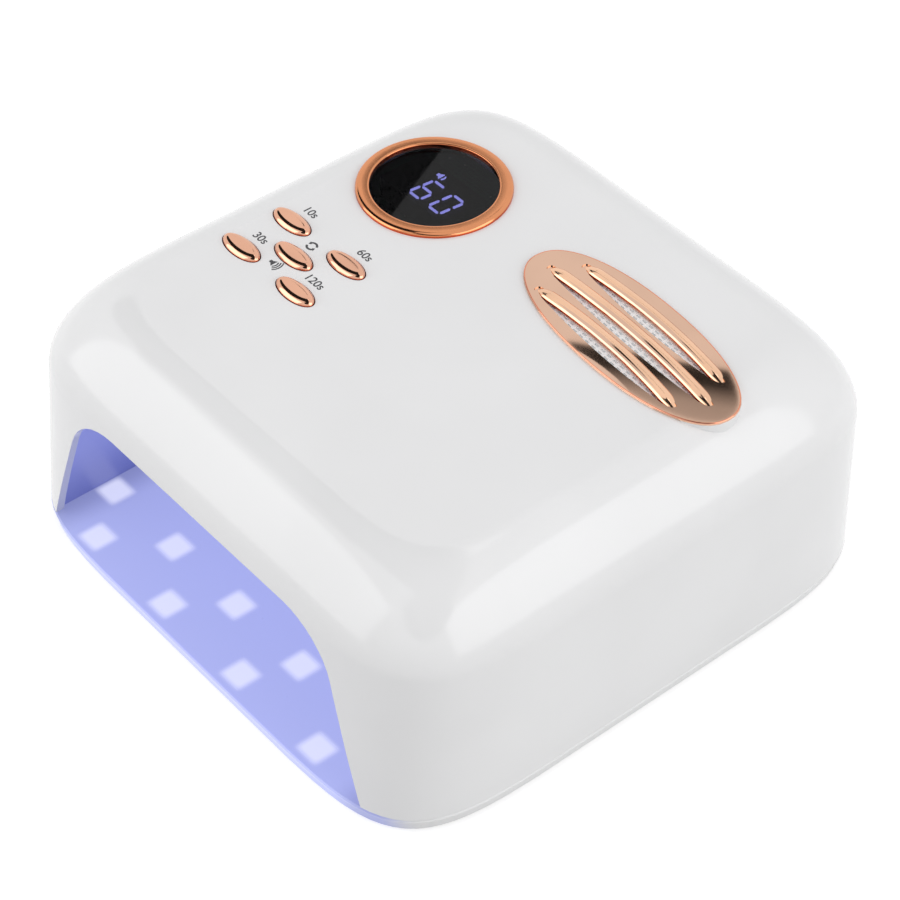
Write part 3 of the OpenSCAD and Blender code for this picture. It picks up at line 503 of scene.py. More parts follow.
@dataclass(frozen=True)
class LitTray:
    """The tray: white outside the tunnel; inside it and on a strip in front of it, a violet tone and glow
    that are painted light from the tunnel's beads, with soft squares of light inside it at its windows.
    """

    name: str = "lit_tray"
    white: Colour = (0.80, 0.80, 0.803)
    # The violet and the two glows are painted light from the tunnel's beads on the white tray.
    violet: Colour = (0.18, 0.20, 0.42)
    glow: Colour = (0.31, 0.335, 0.55)
    lip_glow: Colour = (0.36, 0.38, 0.68)
    window: Colour = (0.62, 0.63, 0.74)
    tunnel_half_w: float = 83.0
    tunnel_rear_y: float = 78.0
    front_y: float = -105.5
    # How far past the tunnel's sides and rear its light fades out.
    side_fade: Flat = (1.0, 4.0)
    rear_fade: float = 2.0
    # How far inwards of the tunnel's sides its light is duller, and what is left of it at them.
    foot_w: float = 14.0
    foot_share: float = 0.62
    # How far behind the front edge the lip's brighter painted light fades out.
    lip_fade: Flat = (0.2, 1.2)
    # Where the lit strip ahead of the tunnel fades, at its rear and at both ends.
    strip_rear_y: Flat = (-90.0, -82.0)
    strip_left_x: Flat = (-101.0, -95.0)
    strip_right_x: Flat = (86.0, 97.0)
    rows: tuple[WindowRow, ...] = (WindowRow(4, -63.5, 39.4, -97.55), WindowRow(5, -77.5, 34.0, -80.55))
    mottling: float = 0.03
    roughness: float = 0.25
    relief: float = 0.003

    def lit(self, s: Sketch, place: Socket) -> Socket:
        """Marks where the tray is lit: inside the tunnel, and on the strip in front of it.

        Args:
            s: The material's sketch.
            place: Object coordinates.

        Returns:
            How far each point is lit, 0 to 1.
        """
        x, y, _ = s.split(place)
        sides = metres(*(self.tunnel_half_w + fade for fade in self.side_fade))
        rear = metres(self.tunnel_rear_y, self.tunnel_rear_y + self.rear_fade)
        in_width = s.span(s.math("ABSOLUTE", x), sides, FALLING)
        in_tunnel = s.math("MULTIPLY", in_width, s.span(y, rear, FALLING))
        in_strip = s.span(y, metres(*self.strip_rear_y), FALLING)
        to_right = s.math("MULTIPLY", in_strip, s.span(x, metres(*self.strip_right_x), FALLING))
        in_front = s.math("MULTIPLY", to_right, s.span(x, metres(*self.strip_left_x)))
        return s.math("MAXIMUM", in_tunnel, in_front)

    def make(self) -> bpy.types.Material:
        """Builds the material."""
        material, s, shader = new_material(self.name)
        place = s.place()
        x, y, _ = s.split(place)
        grain = s.effect(EFFECTS.grain(), Vector=place, Scale=700.0)
        lit = self.lit(s, place)
        side = metres(self.tunnel_half_w - self.foot_w, self.tunnel_half_w)
        foot = s.span(s.math("ABSOLUTE", x), side, (1.0, self.foot_share))
        lip = s.span(y, metres(*(self.front_y + fade for fade in self.lip_fade)), FALLING)
        lights = s.math("MAXIMUM", *(row.light(s, place) for row in self.rows))
        # Painted light: the beads' glow on the tray, with painted shade towards the side walls' foot and
        # brighter painted light at the front lip.
        glow = s.mix(lip, s.mix(foot, BLACK, self.glow), self.lip_glow)
        # The violet tone of the lit part is painted light as well.
        tone = s.mix(grain["Mottling"], self.violet, shade(self.violet, 1 - self.mottling))
        s.feed_all(shader, {
            "Base Color": s.mix(lit, self.white, tone),
            "Emission Color": s.mix(lit, BLACK, s.mix(lights, glow, self.window)),
            "Emission Strength": 1.0,
            "Roughness": s.math("MULTIPLY_ADD", grain["Fine"], 0.08, self.roughness),
            "Normal": s.bump(grain["Height"], self.relief),
        })
        return material


@dataclass(frozen=True)
class SmokedLens:
    """Dark clear acrylic."""

    name: str = "smoked_lens"
    colour: Colour = (0.10, 0.10, 0.105)
    smeared: Colour = (0.11, 0.11, 0.115)
    index: float = 1.49
    roughness: float = 0.015
    scuffed: float = 0.05
    handled: float = 0.4

    def make(self) -> bpy.types.Material:
        """Builds the material."""
        material, s, shader = new_material(self.name)
        marks = s.effect(EFFECTS.handling(), Vector=s.place(), Amount=self.handled)
        s.feed_all(shader, {
            "Base Color": s.mix(marks["Smears"], self.colour, self.smeared),
            "Transmission Weight": 1.0,
            "IOR": self.index,
            "Roughness": s.math("MULTIPLY_ADD", marks["Scuffs"], self.scuffed, self.roughness),
        })
        return material


@dataclass(frozen=True)
class Glow:
    """A lit face whose light falls off a little from place to place."""

    name: str
    colour: Colour
    strength: float
    spread: float = 220.0
    fading: float = 0.9
    unlit: float = 0.5

    def make(self) -> bpy.types.Material:
        """Builds the material."""
        material, s, shader = new_material(self.name)
        ripple = s.span(s.noise(s.place(), self.spread), (0.3, 0.7))
        dull = shade(self.colour, self.unlit)
        s.feed_all(shader, {
            "Base Color": s.mix(ripple, shade(dull, self.fading), dull),
            "Emission Color": s.mix(ripple, shade(self.colour, self.fading), self.colour),
            "Emission Strength": self.strength,
            "Roughness": s.math("MULTIPLY_ADD", ripple, 0.1, 0.3),
        })
        return material


@dataclass(frozen=True)
class CircuitBoard:
    """Solder mask over copper tracks."""

    name: str
    mask: Colour
    track: Colour
    pad: Colour = (0.75, 0.68, 0.5)
    tracks: float = 150.0
    track_w: float = 0.03
    pads: float = 260.0
    pad_edge: Flat = (0.1, 0.13)
    relief: float = 0.02

    def make(self) -> bpy.types.Material:
        """Builds the material."""
        material, s, shader = new_material(self.name)
        place = s.place()
        laid = {"Vector": place, "Scale": self.tracks, "Mortar Size": self.track_w, "Mortar Smooth": 0.1}
        tracks = s.node("TexBrick", laid).outputs["Fac"]
        dots = s.node("TexVoronoi", {"Vector": place, "Scale": self.pads}).outputs["Distance"]
        pads = s.span(dots, self.pad_edge, FALLING)
        s.feed_all(shader, {
            "Base Color": s.mix(pads, s.mix(tracks, self.mask, self.track), self.pad),
            "Roughness": s.span(pads, (0.0, 1.0), (0.36, 0.24)),
            "Normal": s.bump(tracks, self.relief),
        })
        return material


Finish = Plastic | Metal | LitLining | LitTray | SmokedLens | Glow | CircuitBoard

# A deep red-orange: painted reflection on the steep sides of the keys, the ring and the bars.
PAINTED_SIDE_REFLECTION: Colour = (0.62, 0.10, 0.035)
WHITE_GLOSS = Plastic("white_gloss", (0.80, 0.80, 0.803), 0.16, coat=0.2, grain=420.0, relief=0.0015)
COVER_WHITE = Plastic("cover_white", (0.74, 0.74, 0.75), 0.42, grain=1100.0, relief=0.02)
# The keys' copper, with painted reflection on their steep sides.
KEY_COPPER_AND_REFLECTION = Metal("key_copper_and_reflection", (0.80, 0.44, 0.30), 0.07, PAINTED_SIDE_REFLECTION, relief=0.0004)
# The ring's copper, made deeper than the keys' as a painted reflection of the darker surroundings it
# mirrors, with painted reflection on its steep sides too.
RING_COPPER_AND_REFLECTION = Metal("ring_copper_and_reflection", (0.74, 0.30, 0.14), 0.12, PAINTED_SIDE_REFLECTION, relief=0.0004)
GRILLE_COPPER = Metal(
    "grille_copper", (0.72, 0.47, 0.345), 0.03, brushing=90.0, relief=0.00003, tarnish=0.05, handled=0.1
)
# The bars' copper, made lighter than the keys' as a painted highlight for the cream shine on their tops,
# with painted reflection on their steep sides.
BAR_COPPER_AND_HIGHLIGHT = Metal("bar_copper_and_highlight", (0.90, 0.56, 0.37), 0.12, PAINTED_SIDE_REFLECTION, relief=0.0004)
RIM_COPPER = Metal("rim_copper", (0.78, 0.34, 0.22), 0.08, relief=0.0004)
STEEL = Metal("plated_steel", (0.62, 0.63, 0.65), 0.26)
GOLD_PLATE = Metal("gold_plate", (0.83, 0.62, 0.28), 0.2)
COPPER_WIRE = Metal("enamelled_copper", (0.70, 0.34, 0.16), 0.3, brushing=400.0, relief=0.05)
BLACK_MATT = Plastic("black_matt", (0.035, 0.035, 0.038), 0.5, grain=1500.0, relief=0.02)
IVORY = Plastic("ivory_nylon", (0.78, 0.74, 0.60), 0.42, grain=1200.0)
NAVY_SLEEVE = Plastic("navy_sleeve", (0.03, 0.05, 0.20), 0.25, coat=0.2)
RED_KEY = Plastic("red_key", (0.50, 0.06, 0.04), 0.38)
RUBBER = Plastic("dark_rubber", (0.05, 0.05, 0.052), 0.75, grain=1300.0, relief=0.03)
BLACK_LEAD = Plastic("black_insulation", (0.02, 0.02, 0.022), 0.45)
RED_LEAD = Plastic("red_insulation", (0.50, 0.02, 0.015), 0.42)
SENSOR = Plastic("sensor_dome", (0.04, 0.015, 0.05), 0.08, coat=0.5)
SCREEN_WHITE = Plastic("screen_white", (0.93, 0.95, 0.96), 0.35, grain=1100.0)
# The grey of the sheet behind the screen: painted shade that sets how grey the screen's holes look.
HOLE_SHADE_GREY = Plastic("hole_shade_grey", (0.62, 0.65, 0.67), 0.4, grain=1100.0)
INK = Plastic("printed_ink", (0.06, 0.06, 0.065), 0.45, grain=3000.0, relief=0.001)
LIT_BEAD = Glow("lit_bead", (0.70, 0.68, 0.98), 1.2, spread=900.0)
PHOSPHOR = Glow("phosphor", (0.90, 0.84, 0.55), 1.0, spread=900.0)
FIGURE = Glow("figure", (0.36, 0.36, 1.0), 7.2)
GREEN_BOARD = CircuitBoard("green_board", (0.02, 0.16, 0.07), (0.04, 0.26, 0.11))
WHITE_BOARD = CircuitBoard("white_board", (0.78, 0.78, 0.76), (0.68, 0.68, 0.66))


# Modelling


def deselect() -> None:
    """Leaves edit mode and selects nothing."""
    if bpy.context.object and bpy.context.object.mode != "OBJECT":
        bpy.ops.object.mode_set(mode="OBJECT")
    bpy.ops.object.select_all(action="DESELECT")


def choose(obj: bpy.types.Object) -> None:
    """Selects one object and makes it the active one."""
    deselect()
    obj.select_set(True)
    bpy.context.view_layer.objects.active = obj


def named(name: str) -> bpy.types.Object:
    """Names the active object and its mesh."""
    obj = bpy.context.object
    obj.name = name
    obj.data.name = name
    return obj


def settle(obj: bpy.types.Object) -> bpy.types.Object:
    """Applies an object's place, turn and scale to its mesh."""
    choose(obj)
    bpy.ops.object.transform_apply(location=True, rotation=True, scale=True)
    return obj


def edit(obj: bpy.types.Object) -> None:
    """Enters edit mode on one object with all of it selected."""
    choose(obj)
    bpy.ops.object.mode_set(mode="EDIT")
    bpy.ops.mesh.select_all(action="SELECT")


def leave_edit() -> None:
    """Returns to object mode."""
    bpy.ops.object.mode_set(mode="OBJECT")


def merge(obj: bpy.types.Object, distance: float = 0.005) -> None:
    """Merges doubles closer than a distance in millimetres and turns the faces outwards."""
    edit(obj)
    bpy.ops.mesh.remove_doubles(threshold=distance * MM)
    bpy.ops.mesh.normals_make_consistent(inside=False)
    leave_edit()


def apply_modifier(obj: bpy.types.Object, kind: str, **settings: object) -> None:
    """Adds a modifier and applies it.

    Args:
        obj: The object.
        kind: The modifier's type.
        **settings: Its settings.
    """
    modifier = obj.modifiers.new(kind.lower(), kind)
    for name, value in settings.items():
        setattr(modifier, name, value)
    choose(obj)
    bpy.ops.object.modifier_apply(modifier=modifier.name)


def smooth(obj: bpy.types.Object, degrees: float) -> None:
    """Shades an object smooth, except at edges sharper than an angle."""
    choose(obj)
    bpy.ops.object.shade_smooth_by_angle(angle=math.radians(degrees))


def join(parts: Sequence[bpy.types.Object], name: str) -> bpy.types.Object:
    """Joins objects into one.

    Args:
        parts: The objects.
        name: The name of the joined object.

    Returns:
        The joined object.
    """
    deselect()
    for part in parts:
        part.select_set(True)
    bpy.context.view_layer.objects.active = parts[0]
    bpy.ops.object.join()
    return named(name)


def paint(obj: bpy.types.Object, material: bpy.types.Material) -> None:
    """Gives an object one material in place of all it has."""
    obj.data.materials.clear()
    obj.data.materials.append(material)


def weigh_normals(obj: bpy.types.Object) -> None:
    """Weighs the normals of a smooth piece by the size of its faces."""
    apply_modifier(obj, "WEIGHTED_NORMAL", keep_sharp=True, weight=60)


def extrude(height: float) -> None:
    """Extrudes what is selected in edit mode, upwards by a height in millimetres."""
    bpy.ops.mesh.extrude_region_move(TRANSFORM_OT_translate={"value": (0, 0, height * MM)})


def traced(name: str, points: Sequence[Point], filled: bool = True) -> bpy.types.Object:
    """Traces an outline by moving the corners of a circle to its points.

    Args:
        name: The piece's name.
        points: The outline, in millimetres.
        filled: Whether a face closes it.

    Returns:
        The outline.
    """
    deselect()
    fill = "NGON" if filled else "NOTHING"
    bpy.ops.mesh.primitive_circle_add(vertices=len(points), radius=MM, fill_type=fill, location=(0, 0, 0))
    made = named(name)
    for vertex, point in zip(made.data.vertices, points):
        vertex.co = Vector(point) * MM
    return made


def fuller(part: float, fullness: float) -> float:
    """Draws a sine or cosine outwards, so that an oval nears a box as its fullness rises from 2."""
    return math.copysign(abs(part) ** (2 / fullness), part)


def welded(node: str, name: str, degrees: float, rounding: float = 0.0) -> bpy.types.Object:
    """Makes a smooth piece from a copy of a solid, with triangles in one plane made one face.

    Args:
        node: The solid's node.
        name: The piece's name.
        degrees: Edges sharper than this stay sharp.
        rounding: Radius given to sharp edges, in millimetres.

    Returns:
        The piece, which still has to ride on a body.
    """
    made = bpy.data.objects.new(name, bpy.data.objects[node].data.copy())
    made.data.name = name
    bpy.context.scene.collection.objects.link(made)
    edit(made)
    bpy.ops.mesh.remove_doubles(threshold=WELD_DISTANCE * MM)
    bpy.ops.mesh.dissolve_limited(angle_limit=math.radians(FLAT_DEGREES))
    leave_edit()
    if rounding:
        apply_modifier(
            made, "BEVEL", width=rounding * MM, segments=3, limit_method="ANGLE",
            angle_limit=math.radians(degrees), harden_normals=False
        )
    smooth(made, degrees)
    weigh_normals(made)
    return made


def bead(points: Sequence[Point], radius: float, name: str, closed: bool = False,
         taper: float = 1.0) -> bpy.types.Object:
    """Models a round bead along a path.

    Args:
        points: The path, in millimetres.
        radius: The bead's radius.
        name: The piece's name.
        closed: Whether the path is a ring.
        taper: The share of the radius that is left at the two end points.

    Returns:
        The bead, as a mesh.
    """
    deselect()
    bpy.ops.curve.primitive_nurbs_path_add(radius=MM, location=(0, 0, 0))
    curve = bpy.context.object
    curve.data.splines.clear()
    spline = curve.data.splines.new("NURBS")
    spline.points.add(len(points) - 1)
    for slot, point in zip(spline.points, points):
        slot.co = (*(part * MM for part in point), 1.0)
    for end in (spline.points[0], spline.points[-1]):
        end.radius = taper
    spline.order_u = 3
    spline.use_endpoint_u = not closed
    spline.use_cyclic_u = closed
    curve.data.dimensions = "3D"
    curve.data.bevel_depth = radius * MM
    curve.data.bevel_resolution = 5
    curve.data.resolution_u = 6
    curve.data.use_fill_caps = not closed
    bpy.ops.object.convert(target="MESH")
    made = named(name)
    merge(made, distance=0.001)
    smooth(made, degrees=60.0)
    return made


# The lamp


@dataclass
class SubAssembly:
    """Pieces that belong together, and how they are dressed."""

    nodes: dict[str, bpy.types.Object]
    finishes: dict[str, bpy.types.Material]
    made: list[bpy.types.Object] = field(default_factory=list)

    def finish_for(self, finish: Finish) -> bpy.types.Material:
        """Builds a finish once and finds it again after that."""
        if finish.name not in self.finishes:
            self.finishes[finish.name] = finish.make()
        return self.finishes[finish.name]

    def dress(self, names: Iterable[str], finish: Finish) -> None:
        """Gives solids a finish.

        Args:
            names: The solids' nodes.
            finish: Their finish.
        """
        for name in names:
            paint(self.nodes[name], self.finish_for(finish))

    def add(self, obj: bpy.types.Object, body: Body | str, finish: Finish, slot: str,
            replaces: Sequence[str] = ()) -> None:
        """Takes in a new piece.

        Args:
            obj: The piece, in its place.
            body: The body that it rides on.
            finish: Its finish.
            slot: The record's material slot; not used.
            replaces: Nodes that it stands for.
        """
        paint(obj, self.finish_for(finish))
        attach(obj, body.value if isinstance(body, Body) else body)
        if replaces:
            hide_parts(*replaces)
        self.made.append(obj)
        LOG.info("%s: %d faces", obj.name, len(obj.data.polygons))

    def build(self) -> None:
        """Models and dresses the pieces."""
        raise NotImplementedError


@dataclass
class Housing(SubAssembly):
    """The white housing with its lining."""

    edge_rounding: float = 0.35

    def build(self) -> None:
        """Models and dresses the pieces."""
        shell = welded("top_shell", "housing_skin", degrees=32.0, rounding=self.edge_rounding)
        self.add(shell, Body.HOUSING, WHITE_GLOSS, "white_shell", ["top_shell"])
        lining = welded("reflector", "tunnel_lining", degrees=32.0)
        self.add(lining, Body.HOUSING, LitLining(), "reflector_lilac", ["reflector"])
        self.dress(["reflector_screws", "housing_magnets"], STEEL)
        self.dress(["spring_contacts"], GOLD_PLATE)


@dataclass
class TunnelLights(SubAssembly):
    """Light boards round the tunnel, their beads and the hand sensor."""

    def build(self) -> None:
        """Dresses the pieces."""
        self.dress(["ceiling_led_board", "left_led_board", "right_led_board"], WHITE_BOARD)
        self.dress(["ceiling_leds", "left_leds", "right_leds"], LIT_BEAD)
        self.dress(["hand_sensor"], SENSOR)


@dataclass
class Tray(SubAssembly):
    """The lit tray with its feet and cover."""

    def build(self) -> None:
        """Models and dresses the pieces."""
        floor = welded("base_tray", "tray_floor", degrees=30.0)
        self.add(floor, Body.TRAY, LitTray(), "tray_lilac", ["base_tray"])
        self.dress(["tray_windows"], LitTray())
        self.dress(["tray_cover"], COVER_WHITE)
        self.dress(["tray_screws", "tray_magnets"], STEEL)
        self.dress(["tray_contacts"], GOLD_PLATE)
        self.dress(["tray_led_board"], GREEN_BOARD)
        self.dress(["tray_leds"], PHOSPHOR)
        self.dress(["rubber_feet"], RUBBER)


@dataclass
class ButtonCap:
    """A plated button: an oval with a rounded side that runs on into a low crown."""

    length: float = 17.2
    width: float = 8.0
    foot_z: float = 87.1
    top_z: float = 91.7
    # How far the rounded side draws in and rises in a quarter turn, and how far it turns.
    side_in: float = 2.5
    side_rise: float = 1.9
    side_turn: float = 88.0
    side_steps: int = 20
    crown_steps: int = 4
    # The share of the way to the cap's middle that the crown goes.
    crown_reach: float = 0.97
    facets: int = 96

    def stations(self) -> list[Flat]:
        """Returns how far the outline is drawn in at each height, from the foot up."""
        end = math.radians(self.side_turn)
        slope = self.side_rise / self.side_in / math.tan(end)
        rest = self.width / 2 - self.side_in * (1 - math.cos(end))
        crown = slope * rest / 2
        shoulder = self.top_z - crown - self.side_rise * math.sin(end)
        found = [(0.0, self.foot_z)]
        for i in range(self.side_steps + 1):
            turn = end * i / self.side_steps
            found.append((self.side_in * (1 - math.cos(turn)), shoulder + self.side_rise * math.sin(turn)))
        inset, low = found[-1]
        for i in range(1, self.crown_steps + 1):
            share = self.crown_reach * i / self.crown_steps
            found.append((inset + rest * share, low + crown * (1 - (1 - share) ** 2)))
        return found

    def model(self, name: str, middle: Flat) -> bpy.types.Object:
        """Models one cap.

        Args:
            name: The piece's name.
            middle: Its place on the lamp.

        Returns:
            The cap.
        """
        deselect()
        bpy.ops.mesh.primitive_circle_add(
            vertices=self.facets, radius=MM, fill_type="NGON", location=(0, 0, 0)
        )
        cap = named(name)
        edit(cap)
        bpy.ops.transform.resize(value=(self.length / 2, self.width / 2, 1))
        stations = self.stations()
        for (inset, low), (next_inset, high) in zip(stations, stations[1:]):
            extrude(high - low)
            scale = [(size / 2 - next_inset) / (size / 2 - inset) for size in (self.length, self.width)]
            bpy.ops.transform.resize(value=(*scale, 1))
        leave_edit()
        cap.location = metres(*middle, self.foot_z)
        settle(cap)
        merge(cap, distance=0.0005)
        smooth(cap, degrees=50.0)
        weigh_normals(cap)
        return cap


@dataclass
class Printing:
    """Prints thin signs and plain numbers on the housing's top."""

    top_z: float = 90.0
    ink: float = 0.04
    letter: float = 4.5
    boldness: float = 0.05
    facet_degrees: float = 8.0
    cycle_r: float = 1.7
    cycle_stroke: float = 0.75
    arrow_starts: Flat = (25.0, 205.0)
    arrow_sweep: float = 122.0
    head_sweep: float = 34.0
    head_w: float = 1.5
    horn: tuple[Flat, ...] = (
        (-2.9, -0.6), (-2.0, -0.6), (-0.8, -1.5), (-0.8, 1.5), (-2.0, 0.6), (-2.9, 0.6)
    )
    waves: tuple[float, ...] = (1.9, 2.75, 3.6)
    wave_stroke: float = 0.45
    wave_sweep: float = 80.0
    wave_left: float = 1.9

    def number(self, words: str, middle: Flat) -> bpy.types.Object:
        """Prints a plain time.

        Args:
            words: The number and its unit letter.
            middle: Middle of the print.

        Returns:
            The print.
        """
        deselect()
        bpy.ops.object.text_add(location=metres(*middle, self.top_z))
        text = bpy.context.object
        text.data.body = words
        text.data.size = self.letter * MM
        text.data.offset = self.boldness * MM
        text.data.align_x = "CENTER"
        text.data.align_y = "CENTER"
        text.data.extrude = self.ink * MM
        bpy.ops.object.convert(target="MESH")
        made = settle(named(f"print_{words}"))
        merge(made, distance=0.001)
        return made

    def band(self, middle: Flat, radii: Flat, start: float, sweep: float) -> bpy.types.Object:
        """Prints an arc by spinning a short line.

        Args:
            middle: The arc's centre.
            radii: Its inner and outer radius.
            start: Where it starts, in degrees from X, counterclockwise.
            sweep: How far it goes.

        Returns:
            The arc, flat and without thickness.
        """
        deselect()
        bpy.ops.mesh.primitive_plane_add(size=MM, location=(0, 0, 0))
        arc = named("arc")
        edit(arc)
        bpy.ops.transform.resize(value=(radii[1] - radii[0], 1, 1))
        bpy.ops.transform.translate(value=(sum(radii) / 2 * MM, MM / 2, 0))
        bpy.ops.mesh.select_mode(type="VERT")
        bpy.ops.mesh.select_all(action="DESELECT")
        leave_edit()
        for vertex in arc.data.vertices:
            vertex.select = vertex.co.y > MM / 2
        bpy.ops.object.mode_set(mode="EDIT")
        bpy.ops.mesh.delete(type="VERT")
        bpy.ops.mesh.select_all(action="SELECT")
        steps = int(sweep / self.facet_degrees)
        bpy.ops.mesh.spin(steps=steps, angle=math.radians(-sweep), center=(0, 0, 0), axis=(0, 0, 1))
        leave_edit()
        arc.rotation_euler[2] = math.radians(start)
        arc.location = metres(*middle, self.top_z)
        return settle(arc)

    def shape(self, middle: Flat, outline: Sequence[Flat]) -> bpy.types.Object:
        """Prints a flat shape.

        Args:
            middle: The point that its outline is measured from.
            outline: Its corners.

        Returns:
            The shape, flat and without thickness.
        """
        return traced("shape", [(middle[0] + x, middle[1] + y, self.top_z) for x, y in outline])

    def thicken(self, parts: Sequence[bpy.types.Object], name: str) -> bpy.types.Object:
        """Joins flat prints and gives them the ink's thickness."""
        made = join(parts, name)
        merge(made)
        apply_modifier(made, "SOLIDIFY", thickness=self.ink * 2 * MM, offset=0.0)
        return made

    def cycle(self, middle: Flat) -> bpy.types.Object:
        """Prints two arrows that chase each other round a ring."""
        parts = []
        radii = (self.cycle_r - self.cycle_stroke / 2, self.cycle_r + self.cycle_stroke / 2)
        for start in self.arrow_starts:
            parts.append(self.band(middle, radii, start, self.arrow_sweep))
            neck = start + self.arrow_sweep
            corners_at = ((neck, -self.head_w / 2), (neck, self.head_w / 2), (neck + self.head_sweep, 0.0))
            head = []
            for degrees, out in corners_at:
                turn, radius = math.radians(degrees), self.cycle_r + out
                head.append((radius * math.cos(turn), radius * math.sin(turn)))
            parts.append(self.shape(middle, head))
        return self.thicken(parts, "print_cycle")

    def sound(self, middle: Flat) -> bpy.types.Object:
        """Prints a loudspeaker with three waves."""
        parts = [self.shape(middle, self.horn)]
        centre = (middle[0] - self.wave_left, middle[1])
        for inner in self.waves:
            radii = (inner, inner + self.wave_stroke)
            parts.append(self.band(centre, radii, -self.wave_sweep / 2, self.wave_sweep))
        return self.thicken(parts, "print_sound")


@dataclass
class Controls(SubAssembly):
    """Buttons with their printed signs, and the board under them."""

    middle: Flat = (-55.5, -18.5)
    pitch: Flat = (28.4, 20.7)
    number_up: float = 7.8
    cycle_up: float = 7.8
    sound_down: float = 7.0
    sign_left: float = 0.4

    def places(self) -> dict[str, Flat]:
        """Returns the middle of each button."""
        (x, y), (dx, dy) = self.middle, self.pitch
        return {
            "10s": (x - dx / 2, y + dy / 2), "60s": (x + dx / 2, y + dy / 2),
            "30s": (x - dx / 2, y - dy / 2), "120s": (x + dx / 2, y - dy / 2), "cycle": (x, y)
        }

    def build(self) -> None:
        """Models and dresses the pieces."""
        cap = ButtonCap()
        printing = Printing()
        for name, (x, y) in self.places().items():
            piece = cap.model(f"cap_{name}", (x, y))
            self.add(piece, f"key_{name}", KEY_COPPER_AND_REFLECTION, "rose_gold", [f"button_{name}"])
            self.dress([f"plunger_{name}"], RED_KEY)
            if name != "cycle":
                self.add(printing.number(name, (x, y + self.number_up)), Body.HOUSING, INK, "black_plastic")
        x, y = self.middle[0] - self.sign_left, self.middle[1]
        self.add(printing.cycle((x, y + self.cycle_up)), Body.HOUSING, INK, "black_plastic")
        self.add(printing.sound((x, y - self.sound_down)), Body.HOUSING, INK, "black_plastic")
        self.dress(["control_board"], GREEN_BOARD)
        self.dress(["board_screws"], STEEL)
        self.dress(["tact_switches", "controller_chip", "buzzer"], BLACK_MATT)
        self.dress(["capacitors"], NAVY_SLEEVE)
        self.dress(["lead_sockets"], IVORY)


@dataclass
class Display(SubAssembly):
    """The round display with its plated ring."""

    middle: Flat = (-54.0, 39.5)
    turns: int = 128
    bore_r: float = 21.76
    outer_r: float = 26.5
    seat_z: float = 90.02
    crest_z: float = 91.6
    sleeve_r: float = 24.0
    sleeve_z: float = 88.8
    # How square the band is on its inside and on its outside, where 2 is an ellipse.
    fullness: Flat = (9.0, 3.0)
    steps: int = 32

    def profile(self) -> list[Flat]:
        """Returns the ring's section: a band, fuller on its inside than on its outside, over a sleeve."""
        half, middle = (self.outer_r - self.bore_r) / 2, (self.outer_r + self.bore_r) / 2
        inner, outer = self.fullness
        found = [(self.sleeve_r, self.sleeve_z), (self.bore_r, self.sleeve_z)]
        for i in range(self.steps + 1):
            turn = math.pi * i / self.steps
            fullness = inner if turn < math.pi / 2 else outer
            across, up = fuller(math.cos(turn), fullness), fuller(math.sin(turn), fullness)
            found.append((middle - half * across, self.seat_z + (self.crest_z - self.seat_z) * up))
        return [*found, (self.sleeve_r, self.seat_z)]

    def build(self) -> None:
        """Models and dresses the pieces."""
        self.add(self.ring(), Body.HOUSING, RING_COPPER_AND_REFLECTION, "rose_gold", ["display_bezel"])
        self.dress(["display_lens"], SmokedLens())
        self.dress(["display_digits"], FIGURE)
        self.dress(["display_module"], BLACK_MATT)

    def ring(self) -> bpy.types.Object:
        """Models the ring by spinning its section."""
        ring = traced("display_ring", [(radius, 0.0, z) for radius, z in self.profile()], filled=False)
        edit(ring)
        bpy.ops.mesh.spin(steps=self.turns, angle=math.tau, center=(0, 0, 0), axis=(0, 0, 1))
        leave_edit()
        merge(ring)
        ring.location = metres(*self.middle, 0.0)
        settle(ring)
        smooth(ring, degrees=50.0)
        return ring


